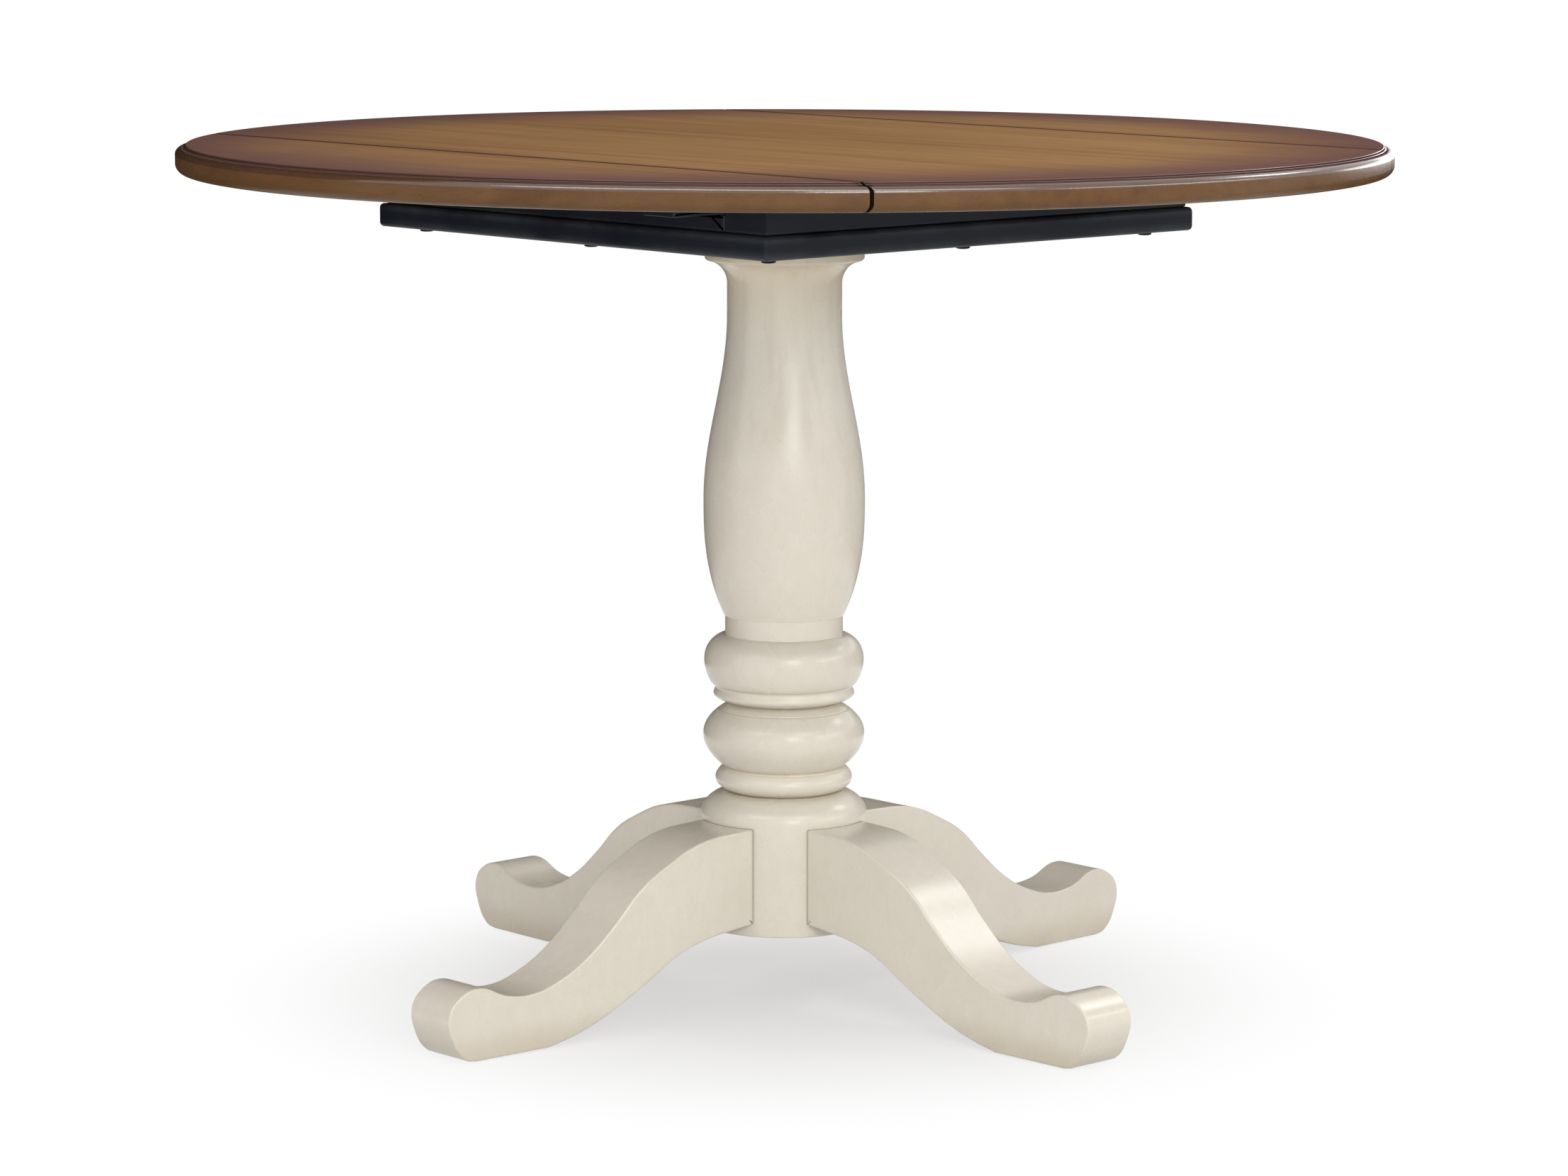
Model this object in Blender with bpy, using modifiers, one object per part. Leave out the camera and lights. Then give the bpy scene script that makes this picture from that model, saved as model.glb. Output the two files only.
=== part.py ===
"""Round drop-leaf pedestal table.

Metres, +Z up. The origin is on the floor below the middle of the top. The leaves lie at -X and +X, their
hinge lines run along Y, and the four legs point along the axes. At rest the leaves are up and the leaf
supports are pushed in.
"""
import math

import bmesh
import bpy
from mathutils import Matrix, Vector

# Clearances
SEAT_GAP = 0.0003
RUN_GAP = 0.0005

# Top
TABLE_HEIGHT = 0.765
TOP_DIAMETER = 1.0668
TOP_THICKNESS = 0.024
PANEL_WIDTH = 0.616
LEAF_GAP = 0.0024
RIM_FLAT_INSET = 0.0096
RIM_STEP = 0.0015
RIM_SHOULDER = 0.002
RIM_ROUND = 0.005
RIM_UNDER_ROUND = 0.008
RIM_STEPS = 80
ROUND_STEPS = 4

# Apron box and base board
BOARD_SIZE = 0.509
BOARD_THICKNESS = 0.0206
BOARD_EDGE_ROUND = 0.004
APRON_INSET = 0.005
APRON_HEIGHT = 0.0312
RAIL_WIDTH = 0.051

# Leaf supports
SUPPORT_WIDTH = 0.038
SUPPORT_THICKNESS = 0.0165
SUPPORT_TAIL_CLEARANCE = 0.0144
SUPPORT_SETBACK = 0.0036
SUPPORT_TRAVEL = 0.095
SUPPORT_TIP_BEVEL_LENGTH = 0.010
SUPPORT_TIP_BEVEL_DROP = 0.006
STOP_PIN_RADIUS = 0.004
STOP_PIN_PROUD = 0.010
STOP_PIN_DEPTH = 0.012

# Hinges
HINGE_LENGTH = 0.050
HINGE_PLATE_WIDTH = 0.030
HINGE_PLATE_THICKNESS = 0.002
HINGE_END_MARGIN = 0.158
KNUCKLE_COUNT = 3
KNUCKLE_RADIUS = 0.0032
KNUCKLE_STEPS = 12
HINGE_PIN_RADIUS = 0.0015
HINGE_PIN_STEPS = 8
LUG_INSET = 0.0004
HINGE_SCREW_REACH = 0.018
HINGE_SCREW_SPREAD = 0.030
HINGE_SCREW_RADIUS = 0.0017
HINGE_SCREW_DEPTH = 0.014

# Column, from the top down
FLANGE_HEIGHT = 0.0276
FLANGE_RADIUS = 0.0707
COVE_HEIGHT = 0.0204
NECK_HEIGHT = 0.0274
NECK_RADIUS = 0.0509
BELLY_HEIGHT = 0.1033
BELLY_RADIUS = 0.0718
VASE_FOOT_RADIUS = 0.0534
VASE_FOOT_POWER = 2.62
COLLAR_HEIGHT = 0.0175
COLLAR_RADIUS = 0.0525
UPPER_RING_HEIGHT = 0.0451
UPPER_RING_RADIUS = 0.0712
UPPER_RING_POWER = 1.24
UPPER_BEAD_HEIGHT = 0.0159
UPPER_BEAD_RADIUS = 0.0629
UPPER_BEAD_TOP_INSET = 0.0005
UPPER_BEAD_POWER = 2.6
UPPER_GROOVE_RADIUS = 0.0471
LOWER_RING_HEIGHT = 0.0574
LOWER_RING_RADIUS = 0.0721
LOWER_RING_POWER = 1.81
LOWER_BEAD_TOP_RADIUS = 0.0536
LOWER_BEAD_HEIGHT = 0.0223
LOWER_BEAD_RADIUS = 0.0613
LOWER_BEAD_POWER = 1.82
FOOT_GROOVE_RADIUS = 0.0490
SHOULDER_HEIGHT = 0.0215
SHOULDER_POWER = 1.2
HUB_HEIGHT = 0.0998
HUB_RADIUS = 0.0744
HUB_BOTTOM_Z = 0.065
HUB_WALL = 0.026
HUB_FLOOR = 0.0135
COLUMN_STEPS = 32

# Legs: across the outline, shares of the way from the hub to the toe's tip or distances from that tip;
# up it, drops from the root's edges or heights above the floor
LEG_ROOT_WIDTH = 0.068
LEG_TOE_WIDTH = 0.0525
LEG_REACH = 0.406
LEG_ROOT_DROP = 0.0026
LEG_ROOT_RISE = 0.0117
LEG_ROOT_OVERLAP = 0.012
HUMP_SHARES_AND_DROPS = ((0.1586, 0.0044), (0.2762, 0.0196), (0.3637, 0.0363), (0.4512, 0.063))
HOLLOW_SHARES_AND_HEIGHTS = ((0.5476, 0.0738), (0.6336, 0.0592), (0.7226, 0.0512), (0.807, 0.053))
TOE_SETBACKS_AND_HEIGHTS = (
    (0.0315, 0.0645),
    (0.0125, 0.0595),
    (0.0, 0.045),
    (0.0025, 0.024),
    (0.0165, 0.0045),
)
SOLE_SETBACK = 0.028
SOLE_LENGTH = 0.080
INSTEP_SHARES_AND_HEIGHTS = ((0.5905, 0.0073), (0.5148, 0.0153), (0.4086, 0.031), (0.3212, 0.0459))
UNDER_SHARES_AND_DROPS = ((0.2491, 0.0177), (0.1677, 0.0084), (0.0621, 0.0026))
CURVE_RESOLUTION = 4

# Glides
GLIDE_PROUD = 0.0015
GLIDE_RADIUS = 0.012
GLIDE_HEIGHT = 0.004
GLIDE_EDGE_ROUND = 0.001
GLIDE_NAIL_RADIUS = 0.0015
GLIDE_NAIL_LENGTH = 0.012
GLIDE_STEPS = 12

# Fasteners
FASTENER_STEPS = 8
BOARD_BOLT_HEAD_RADIUS = 0.0066
BOARD_BOLT_HEAD_HEIGHT = 0.0042
BOARD_BOLT_RADIUS = 0.003
BOARD_BOLT_GRIP = 0.012
COLUMN_SCREW_HEAD_RADIUS = 0.006
COLUMN_SCREW_HEAD_HEIGHT = 0.0035
COLUMN_SCREW_RADIUS = 0.003
COLUMN_SCREW_GRIP = 0.040
COLUMN_SCREW_INSET = 0.0061
LEG_BOLT_HEAD_RADIUS = 0.0065
LEG_BOLT_HEAD_HEIGHT = 0.005
LEG_BOLT_RADIUS = 0.004
LEG_BOLT_GRIP = 0.046
LEG_BOLT_MARGIN = 0.024
DRILL_OVERRUN = 0.004

# Places worked out from the sizes above
TOP_RADIUS = TOP_DIAMETER / 2
UNDERSIDE_Z = TABLE_HEIGHT - TOP_THICKNESS
HINGE_LINE_X = PANEL_WIDTH / 2
HINGE_AXIS_Z = UNDERSIDE_Z - SEAT_GAP - KNUCKLE_RADIUS
HINGE_END_Y = math.sqrt(TOP_RADIUS ** 2 - HINGE_LINE_X ** 2) - HINGE_END_MARGIN
APRON_TOP_Z = UNDERSIDE_Z - SEAT_GAP
APRON_LOW_Z = APRON_TOP_Z - APRON_HEIGHT
APRON_HALF = BOARD_SIZE / 2 - APRON_INSET
RAIL_INNER = APRON_HALF - RAIL_WIDTH
RAIL_MIDDLE = APRON_HALF - RAIL_WIDTH / 2
BOARD_TOP_Z = APRON_LOW_Z - SEAT_GAP
BOARD_LOW_Z = BOARD_TOP_Z - BOARD_THICKNESS
COLUMN_TOP_Z = BOARD_LOW_Z - SEAT_GAP
SUPPORT_TOP_Z = UNDERSIDE_Z - RUN_GAP
SUPPORT_LOW_Z = SUPPORT_TOP_Z - SUPPORT_THICKNESS
SUPPORT_Y = RAIL_INNER - RUN_GAP - SUPPORT_WIDTH / 2
SUPPORT_TIP_X = HINGE_LINE_X - SUPPORT_SETBACK
RUNNER_TOP_Z = SUPPORT_LOW_Z - SEAT_GAP
STOP_PIN_X = RAIL_INNER - SEAT_GAP - STOP_PIN_RADIUS - SUPPORT_TRAVEL
HUB_TOP_Z = HUB_BOTTOM_Z + HUB_HEIGHT
CAVITY_RADIUS = HUB_RADIUS - HUB_WALL
CAVITY_TOP_Z = HUB_TOP_Z - HUB_FLOOR
COLUMN_SCREW_CIRCLE = NECK_RADIUS - COLUMN_SCREW_INSET
LEG_ROOT_TOP_Z = HUB_TOP_Z - LEG_ROOT_DROP
LEG_ROOT_LOW_Z = HUB_BOTTOM_Z + LEG_ROOT_RISE
SOLE_OUTER_X = LEG_REACH - SOLE_SETBACK
SOLE_INNER_X = SOLE_OUTER_X - SOLE_LENGTH
GLIDE_X = (SOLE_OUTER_X + SOLE_INNER_X) / 2
SIDES = {"left": -1, "right": 1}
ENDS = {"front": -1, "back": 1}
LEGS = {"right": 0, "back": 90, "left": 180, "front": 270}
ALONG_Y = Matrix.Rotation(math.pi / 2, 4, "X")


def remove_everything():
    for item in list(bpy.data.objects):
        bpy.data.objects.remove(item, do_unlink=True)


def new_collection(name):
    group = bpy.data.collections.new(name)
    bpy.context.scene.collection.children.link(group)
    return group


def finish(name, colour, roughness, metallic=0.0):
    """A plain Principled material."""
    material = bpy.data.materials.new(name)
    material.use_nodes = True
    shader = material.node_tree.nodes["Principled BSDF"]
    shader.inputs["Base Color"].default_value = (*colour, 1.0)
    shader.inputs["Roughness"].default_value = roughness
    shader.inputs["Metallic"].default_value = metallic
    return material


def add_part(name, mesh, material, parent=None):
    """A named piece, its mesh in table coordinates, carried by a pivot where it moves."""
    part = bpy.data.objects.new(name, mesh)
    mesh.materials.clear()
    mesh.materials.append(material)
    PARTS.objects.link(part)
    if parent:
        part.parent = parent
        part.matrix_parent_inverse = Matrix.Translation(-parent.location)
    return part


def add_pivot(name, place):
    """An empty on a joint's axis."""
    pivot = bpy.data.objects.new(name, None)
    pivot.location = place
    PARTS.objects.link(pivot)
    return pivot


def add_cutter(name, mesh):
    cutter = bpy.data.objects.new(name, mesh)
    cutter.hide_render = True
    cutter.display_type = "WIRE"
    CUTTERS.objects.link(cutter)
    return cutter


def combine(part, cutters, operation="DIFFERENCE"):
    for cutter in cutters:
        modifier = part.modifiers.new(cutter.name, "BOOLEAN")
        modifier.operation = operation
        modifier.solver = "EXACT"
        modifier.object = cutter


def evaluated(item):
    """The item's finished mesh; the item itself is removed."""
    graph = bpy.context.evaluated_depsgraph_get()
    mesh = bpy.data.meshes.new_from_object(item.evaluated_get(graph))
    bpy.data.objects.remove(item, do_unlink=True)
    return mesh


def shade_round(mesh):
    mesh.shade_smooth()
    mesh.set_sharp_from_angle(angle=math.radians(35))
    return mesh


def boxes(name, corners):
    """One mesh of separate boxes, each from its low and high corner."""
    shape = bmesh.new()
    for low, high in corners:
        low, high = Vector(low), Vector(high)
        place = Matrix.LocRotScale((low + high) / 2, None, high - low)
        bmesh.ops.create_cube(shape, size=1.0, matrix=place)
    mesh = bpy.data.meshes.new(name)
    shape.to_mesh(mesh)
    shape.free()
    return mesh


def mirrored_box(low, high, sign):
    """A box's corners, mirrored in X where sign is -1."""
    ends = sorted((low[0] * sign, high[0] * sign))
    return (ends[0], low[1], low[2]), (ends[1], high[1], high[2])


def turned(name, profile, steps):
    """A solid of revolution about Z; the profile runs from the axis down the outer side to the axis."""
    line = bpy.data.meshes.new(name)
    edges = [(i, i + 1) for i in range(len(profile) - 1)]
    line.from_pydata([(radius, 0.0, z) for radius, z in profile], edges, [])
    shape = bpy.data.objects.new(name, line)
    PARTS.objects.link(shape)
    screw = shape.modifiers.new("turn", "SCREW")
    screw.axis = "Z"
    screw.angle = math.tau
    screw.steps = steps
    screw.render_steps = steps
    screw.use_merge_vertices = True
    screw.merge_threshold = 0.00001
    return shade_round(evaluated(shape))


def outline_solid(name, points, corners, thickness, resolution):
    """A smooth closed outline in X and Z, straight at its corners, extruded evenly about Y = 0."""
    curve = bpy.data.curves.new(name, "CURVE")
    curve.dimensions = "2D"
    curve.fill_mode = "BOTH"
    curve.extrude = thickness / 2
    curve.resolution_u = resolution
    spline = curve.splines.new("BEZIER")
    spline.bezier_points.add(len(points) - 1)
    spline.use_cyclic_u = True
    for index, (knot, point) in enumerate(zip(spline.bezier_points, points)):
        knot.co = (*point, 0.0)
        kind = "VECTOR" if index in corners else "AUTO"
        knot.handle_left_type = kind
        knot.handle_right_type = kind
    shape = bpy.data.objects.new(name, curve)
    PARTS.objects.link(shape)
    mesh = evaluated(shape)
    mesh.transform(Matrix.Rotation(math.pi / 2, 4, "X"))
    weld = bmesh.new()
    weld.from_mesh(mesh)
    bmesh.ops.remove_doubles(weld, verts=weld.verts, dist=0.00001)
    bmesh.ops.recalc_face_normals(weld, faces=weld.faces)
    weld.to_mesh(mesh)
    weld.free()
    return mesh


def copies(name, mesh, matrices):
    """One mesh holding a copy of the given mesh at each matrix."""
    group = bmesh.new()
    for matrix in matrices:
        piece = mesh.copy()
        piece.transform(matrix)
        group.from_mesh(piece)
        bpy.data.meshes.remove(piece)
    result = bpy.data.meshes.new(name)
    group.to_mesh(result)
    group.free()
    return shade_round(result)


def quarter(centre, radius, start):
    """Points of a quarter circle, from the start angle clockwise."""
    angles = [start - math.pi / 2 * i / ROUND_STEPS for i in range(ROUND_STEPS + 1)]
    return [(centre[0] + radius * math.cos(a), centre[1] + radius * math.sin(a)) for a in angles]


def ring(top_z, top_radius, height, low_radius, radius, power, steps=8):
    """Profile points of a turned ring, from the groove above it to the one below, without its top end."""
    points = []
    for i in range(1, steps + 1):
        angle = math.pi * i / steps
        share = (1 - math.cos(angle)) / 2
        base = top_radius + (low_radius - top_radius) * share
        bulge = (radius - base) * math.sin(angle) ** power
        points.append((base + bulge, top_z - height * share))
    return points


def peg(radius, depth, proud):
    """A plain round pin from -proud to depth along Z."""
    return [(0, depth), (radius, depth), (radius, -proud), (0, -proud)]


def bolt(head_radius, head_height, radius, length):
    """A bolt with its head below height 0 and its shank towards +Z."""
    shank = [(0, length), (radius, length), (radius, 0)]
    return shank + [(head_radius, 0), (head_radius, -head_height), (0, -head_height)]


def fasteners(names, profile, hole_profile, places):
    """One object for each fastener, all of one mesh, and the cutter that drills all their holes."""
    body = turned(names[0], profile, FASTENER_STEPS)
    for name, place in zip(names, places):
        add_part(name, body, STEEL).matrix_world = place
    drill = turned(names[0] + "_hole", hole_profile, FASTENER_STEPS)
    return add_cutter(names[0] + "_holes", copies(names[0] + "_holes", drill, places))


def upward(x, y, z):
    return Matrix.Translation((x, y, z))


def downward(x, y, z):
    return Matrix.Translation((x, y, z)) @ Matrix.Rotation(math.pi, 4, "X")


def outward(angle, radius, z):
    """Local +Z pointing away from the table's axis."""
    spin = Matrix.Rotation(math.radians(angle), 4, "Z")
    return spin @ Matrix.Translation((radius, 0, z)) @ Matrix.Rotation(math.pi / 2, 4, "Y")


def top_profile():
    rim = TOP_RADIUS - RIM_ROUND
    flat = TOP_RADIUS - RIM_FLAT_INSET
    low_round = RIM_UNDER_ROUND
    profile = [(0, TABLE_HEIGHT), (flat, TABLE_HEIGHT), (flat, TABLE_HEIGHT - RIM_STEP)]
    profile += quarter((rim, TABLE_HEIGHT - RIM_SHOULDER - RIM_ROUND), RIM_ROUND, math.pi / 2)
    profile += quarter((TOP_RADIUS - low_round, UNDERSIDE_Z + low_round), low_round, 0.0)
    return profile + [(0, UNDERSIDE_Z)]


def make_top(pivots):
    """The round top, sawn along the two hinge lines."""
    round_top = turned("round_top", top_profile(), RIM_STEPS)
    edge = HINGE_LINE_X - LEAF_GAP / 2
    far = TOP_DIAMETER
    panel = add_part("center_panel", round_top, WOOD)
    strip = boxes("panel_strip", [((-edge, -far, 0), (edge, far, 2 * TABLE_HEIGHT))])
    combine(panel, [add_cutter("panel_strip", strip)], "INTERSECT")
    pieces = {"panel": panel}
    for side, sign in SIDES.items():
        leaf = add_part("leaf_" + side, round_top.copy(), WOOD, pivots[side])
        low = (HINGE_LINE_X + LEAF_GAP / 2, -far, 0)
        area = boxes("leaf_area_" + side, [mirrored_box(low, (far, far, 2 * TABLE_HEIGHT), sign)])
        combine(leaf, [add_cutter("leaf_area_" + side, area)], "INTERSECT")
        pieces[side] = leaf
    return pieces


def knuckle_places(owned):
    """The middles, along the pin, of the knuckles that a plate owns."""
    pitch = HINGE_LENGTH / KNUCKLE_COUNT
    return [(i - (KNUCKLE_COUNT - 1) / 2) * pitch for i in range(KNUCKLE_COUNT) if (i % 2 == 0) == owned]


def screw_spots(sign):
    """Where a hinge plate's screws stand, measured from the middle of its pin."""
    return [(sign * HINGE_SCREW_REACH, y * HINGE_SCREW_SPREAD / 2) for y in ENDS.values()]


def hinge_plate(name, sign, owned):
    """A hinge's plate with its knuckles and screws, on one side of a pin along the Y axis."""
    half_knuckle = (HINGE_LENGTH / KNUCKLE_COUNT - RUN_GAP) / 2
    plate_low = KNUCKLE_RADIUS - HINGE_PLATE_THICKNESS
    inner = KNUCKLE_RADIUS + RUN_GAP
    low_corner = (inner, -HINGE_LENGTH / 2, plate_low)
    high_corner = (HINGE_PLATE_WIDTH, HINGE_LENGTH / 2, KNUCKLE_RADIUS)
    plate = bpy.data.objects.new(name, boxes(name, [mirrored_box(low_corner, high_corner, sign)]))
    PARTS.objects.link(plate)

    middles = knuckle_places(owned)
    barrel = turned(name + "_barrel", peg(KNUCKLE_RADIUS, half_knuckle, half_knuckle), KNUCKLE_STEPS)
    barrels = copies(name + "_barrels", barrel, [Matrix.Translation((0, y, 0)) @ ALONG_Y for y in middles])
    lug_low = (HINGE_PIN_RADIUS + SEAT_GAP + LUG_INSET, LUG_INSET - half_knuckle, plate_low + LUG_INSET)
    lug_high = (inner + HINGE_PLATE_THICKNESS, half_knuckle - LUG_INSET, KNUCKLE_RADIUS - LUG_INSET)
    lug = boxes(name + "_lug", [mirrored_box(lug_low, lug_high, sign)])
    lugs = copies(name + "_lugs", lug, [Matrix.Translation((0, y, 0)) for y in middles])
    screw = turned(name + "_screw", peg(HINGE_SCREW_RADIUS, HINGE_SCREW_DEPTH, LUG_INSET), FASTENER_STEPS)
    screws = copies(name + "_screws", screw, [upward(x, y, KNUCKLE_RADIUS) for x, y in screw_spots(sign)])
    bore_profile = peg(HINGE_PIN_RADIUS + SEAT_GAP, HINGE_LENGTH, HINGE_LENGTH)
    bore = turned(name + "_bore", bore_profile, HINGE_PIN_STEPS)
    bore.transform(ALONG_Y)

    helpers = [add_cutter(mesh.name, mesh) for mesh in (barrels, lugs, screws, bore)]
    combine(plate, helpers[:3], "UNION")
    combine(plate, helpers[3:])
    mesh = evaluated(plate)
    for helper in helpers:
        bpy.data.objects.remove(helper, do_unlink=True)
    return mesh


def make_hinges(pivots, top):
    """Two hinges under each leaf joint, and the holes for their screws."""
    panel_plate = hinge_plate("panel_plate", -1, True)
    leaf_plate = hinge_plate("leaf_plate", 1, False)
    pin = turned("hinge_pin", peg(HINGE_PIN_RADIUS, HINGE_LENGTH / 2, HINGE_LENGTH / 2), HINGE_PIN_STEPS)
    pin.transform(ALONG_Y)
    hole = peg(HINGE_SCREW_RADIUS + SEAT_GAP, HINGE_SCREW_DEPTH + SEAT_GAP, DRILL_OVERRUN)
    drill = turned("hinge_screw_hole", hole, FASTENER_STEPS)
    screw_places = []
    for side, sign in SIDES.items():
        for end, y_sign in ENDS.items():
            middle = Vector((sign * HINGE_LINE_X, y_sign * HINGE_END_Y, HINGE_AXIS_Z))
            place = Matrix.Translation(middle) @ Matrix.Rotation(0 if sign > 0 else math.pi, 4, "Z")
            name = f"hinge_{side}_{end}"
            add_part(name + "_panel_plate", copies(name, panel_plate, [place]), HINGE_METAL)
            add_part(name + "_leaf_plate", copies(name, leaf_plate, [place]), HINGE_METAL, pivots[side])
            add_part(name + "_pin", copies(name, pin, [place]), HINGE_METAL)
            for x, y in screw_spots(-1) + screw_spots(1):
                screw_places.append(place @ upward(x, y, KNUCKLE_RADIUS))
    holes = add_cutter("hinge_screw_holes", copies("hinge_screw_holes", drill, screw_places))
    for piece in top.values():
        combine(piece, [holes])


def make_apron():
    """Two end rails as long as the box, and two side rails between them, notched for the leaf supports."""
    rails = []
    for end, sign in ENDS.items():
        ys = sorted((sign * RAIL_INNER, sign * APRON_HALF))
        box = ((-APRON_HALF, ys[0], APRON_LOW_Z), (APRON_HALF, ys[1], APRON_TOP_Z))
        rails.append(add_part(f"apron_rail_{end}", boxes(f"apron_rail_{end}", [box]), BLACK))
    notch_y = SUPPORT_Y - SUPPORT_WIDTH / 2 - RUN_GAP
    far = BOARD_SIZE
    notches = []
    for sign in ENDS.values():
        ys = sorted((sign * notch_y, sign * far))
        notches.append(((-far, ys[0], RUNNER_TOP_Z), (far, ys[1], far + TABLE_HEIGHT)))
    notch_cutter = add_cutter("support_notches", boxes("support_notches", notches))
    for side, sign in SIDES.items():
        low = (RAIL_INNER, -RAIL_INNER + SEAT_GAP, APRON_LOW_Z)
        high = (APRON_HALF, RAIL_INNER - SEAT_GAP, APRON_TOP_Z)
        mesh = boxes(f"apron_rail_{side}", [mirrored_box(low, high, sign)])
        rail = add_part(f"apron_rail_{side}", mesh, BLACK)
        combine(rail, [notch_cutter])
        rails.append(rail)
    return rails


def make_supports():
    """Four sliding leaf supports with stop pins, and the two runners that carry them."""
    for end, y_sign in ENDS.items():
        runner_end = RAIL_INNER - SEAT_GAP
        low_y = y_sign * SUPPORT_Y - SUPPORT_WIDTH / 2
        low = (-runner_end, low_y, BOARD_TOP_Z + SEAT_GAP)
        high = (runner_end, low_y + SUPPORT_WIDTH, RUNNER_TOP_Z)
        add_part(f"support_runner_{end}", boxes(f"support_runner_{end}", [(low, high)]), BIRCH)
        for side, sign in SIDES.items():
            make_support(f"leaf_support_{side}_{end}", sign, y_sign)


def make_support(name, sign, y_sign):
    tail_x = SUPPORT_TAIL_CLEARANCE
    outline = [
        (tail_x, SUPPORT_LOW_Z),
        (SUPPORT_TIP_X, SUPPORT_LOW_Z),
        (SUPPORT_TIP_X, SUPPORT_TOP_Z - SUPPORT_TIP_BEVEL_DROP),
        (SUPPORT_TIP_X - SUPPORT_TIP_BEVEL_LENGTH, SUPPORT_TOP_Z),
        (tail_x, SUPPORT_TOP_Z),
    ]
    bar = outline_solid(name, outline, range(len(outline)), SUPPORT_WIDTH, 1)
    turn = Matrix.Rotation(0 if sign > 0 else math.pi, 4, "Z")
    bar.transform(Matrix.Translation((0, y_sign * SUPPORT_Y, 0)) @ turn)
    middle_z = (SUPPORT_TOP_Z + SUPPORT_LOW_Z) / 2
    inner_y = y_sign * (SUPPORT_Y - SUPPORT_WIDTH / 2)
    pivot = add_pivot(name + "_slide", (sign * SUPPORT_TIP_X, y_sign * SUPPORT_Y, middle_z))
    support = add_part(name, bar, BLACK, pivot)
    into_bar = Matrix.Translation((sign * STOP_PIN_X, inner_y, middle_z))
    into_bar = into_bar @ Matrix.Rotation(-y_sign * math.pi / 2, 4, "X")
    pin = turned(name + "_stop", peg(STOP_PIN_RADIUS, STOP_PIN_DEPTH, STOP_PIN_PROUD), HINGE_PIN_STEPS)
    pin.transform(into_bar)
    add_part(name + "_stop", pin, BIRCH, pivot)
    hole_profile = peg(STOP_PIN_RADIUS + SEAT_GAP, STOP_PIN_DEPTH + SEAT_GAP, STOP_PIN_PROUD)
    hole = turned(name + "_hole", hole_profile, HINGE_PIN_STEPS)
    hole.transform(into_bar)
    combine(support, [add_cutter(name + "_hole", hole)])


def make_board():
    half = BOARD_SIZE / 2
    mesh = boxes("base_board", [((-half, -half, BOARD_LOW_Z), (half, half, BOARD_TOP_Z))])
    board = add_part("base_board", mesh, BLACK)
    rounding = board.modifiers.new("eased_edges", "BEVEL")
    rounding.width = BOARD_EDGE_ROUND
    rounding.segments = 2
    return board


def column_profile():
    """The turned outline, from the top down to the hollow hub."""
    profile = [(0, COLUMN_TOP_Z), (FLANGE_RADIUS, COLUMN_TOP_Z)]
    z = COLUMN_TOP_Z - FLANGE_HEIGHT
    cove_depth = FLANGE_RADIUS - NECK_RADIUS
    for i in range(ROUND_STEPS + 1):
        angle = math.pi / 2 * i / ROUND_STEPS
        drop = COVE_HEIGHT * (1 - math.cos(angle))
        profile.append((FLANGE_RADIUS - cove_depth * math.sin(angle), z - drop))
    z -= COVE_HEIGHT + NECK_HEIGHT
    foot_z = HUB_TOP_Z + SHOULDER_HEIGHT + LOWER_BEAD_HEIGHT + LOWER_RING_HEIGHT
    foot_z += UPPER_BEAD_HEIGHT + UPPER_RING_HEIGHT + COLLAR_HEIGHT
    profile += vase(z, foot_z)
    z = foot_z
    profile.append((COLLAR_RADIUS, z))
    z -= COLLAR_HEIGHT
    profile.append((COLLAR_RADIUS, z))
    bead_seat = UPPER_BEAD_RADIUS - UPPER_BEAD_TOP_INSET
    rings = (
        (UPPER_RING_HEIGHT, bead_seat, UPPER_RING_RADIUS, UPPER_RING_POWER),
        (UPPER_BEAD_HEIGHT, UPPER_GROOVE_RADIUS, UPPER_BEAD_RADIUS, UPPER_BEAD_POWER),
        (LOWER_RING_HEIGHT, LOWER_BEAD_TOP_RADIUS, LOWER_RING_RADIUS, LOWER_RING_POWER),
        (LOWER_BEAD_HEIGHT, FOOT_GROOVE_RADIUS, LOWER_BEAD_RADIUS, LOWER_BEAD_POWER),
    )
    above = COLLAR_RADIUS
    for height, below, radius, power in rings:
        profile += ring(z, above, height, below, radius, power)
        z -= height
        above = below
    return profile + shoulder(z) + [
        (HUB_RADIUS, HUB_BOTTOM_Z),
        (CAVITY_RADIUS, HUB_BOTTOM_Z),
        (CAVITY_RADIUS, CAVITY_TOP_Z),
        (0, CAVITY_TOP_Z),
    ]


def vase(top_z, foot_z, steps=7):
    """The vase's side: a slow swell from the neck to the belly, then a faster fall to its foot."""
    belly_z = foot_z + BELLY_HEIGHT
    points = [(NECK_RADIUS, top_z)]
    for i in range(1, steps):
        share = i / steps
        swell = (BELLY_RADIUS - NECK_RADIUS) * (1 - math.cos(math.pi * share)) / 2
        points.append((NECK_RADIUS + swell, top_z + (belly_z - top_z) * share))
    for i in range(steps):
        share = i / (steps - 1)
        fall = (BELLY_RADIUS - VASE_FOOT_RADIUS) * share ** VASE_FOOT_POWER
        points.append((BELLY_RADIUS - fall, belly_z - BELLY_HEIGHT * share))
    return points


def shoulder(top_z, steps=7):
    """The rounded shoulder from the foot groove out to the hub's straight side."""
    points = []
    for i in range(1, steps + 1):
        angle = math.pi / 2 * i / steps
        swell = (HUB_RADIUS - FOOT_GROOVE_RADIUS) * math.sin(angle) ** SHOULDER_POWER
        points.append((FOOT_GROOVE_RADIUS + swell, HUB_TOP_Z + (top_z - HUB_TOP_Z) * math.cos(angle)))
    return points


def along_leg(share):
    return HUB_RADIUS + share * (LEG_REACH - HUB_RADIUS)


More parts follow.
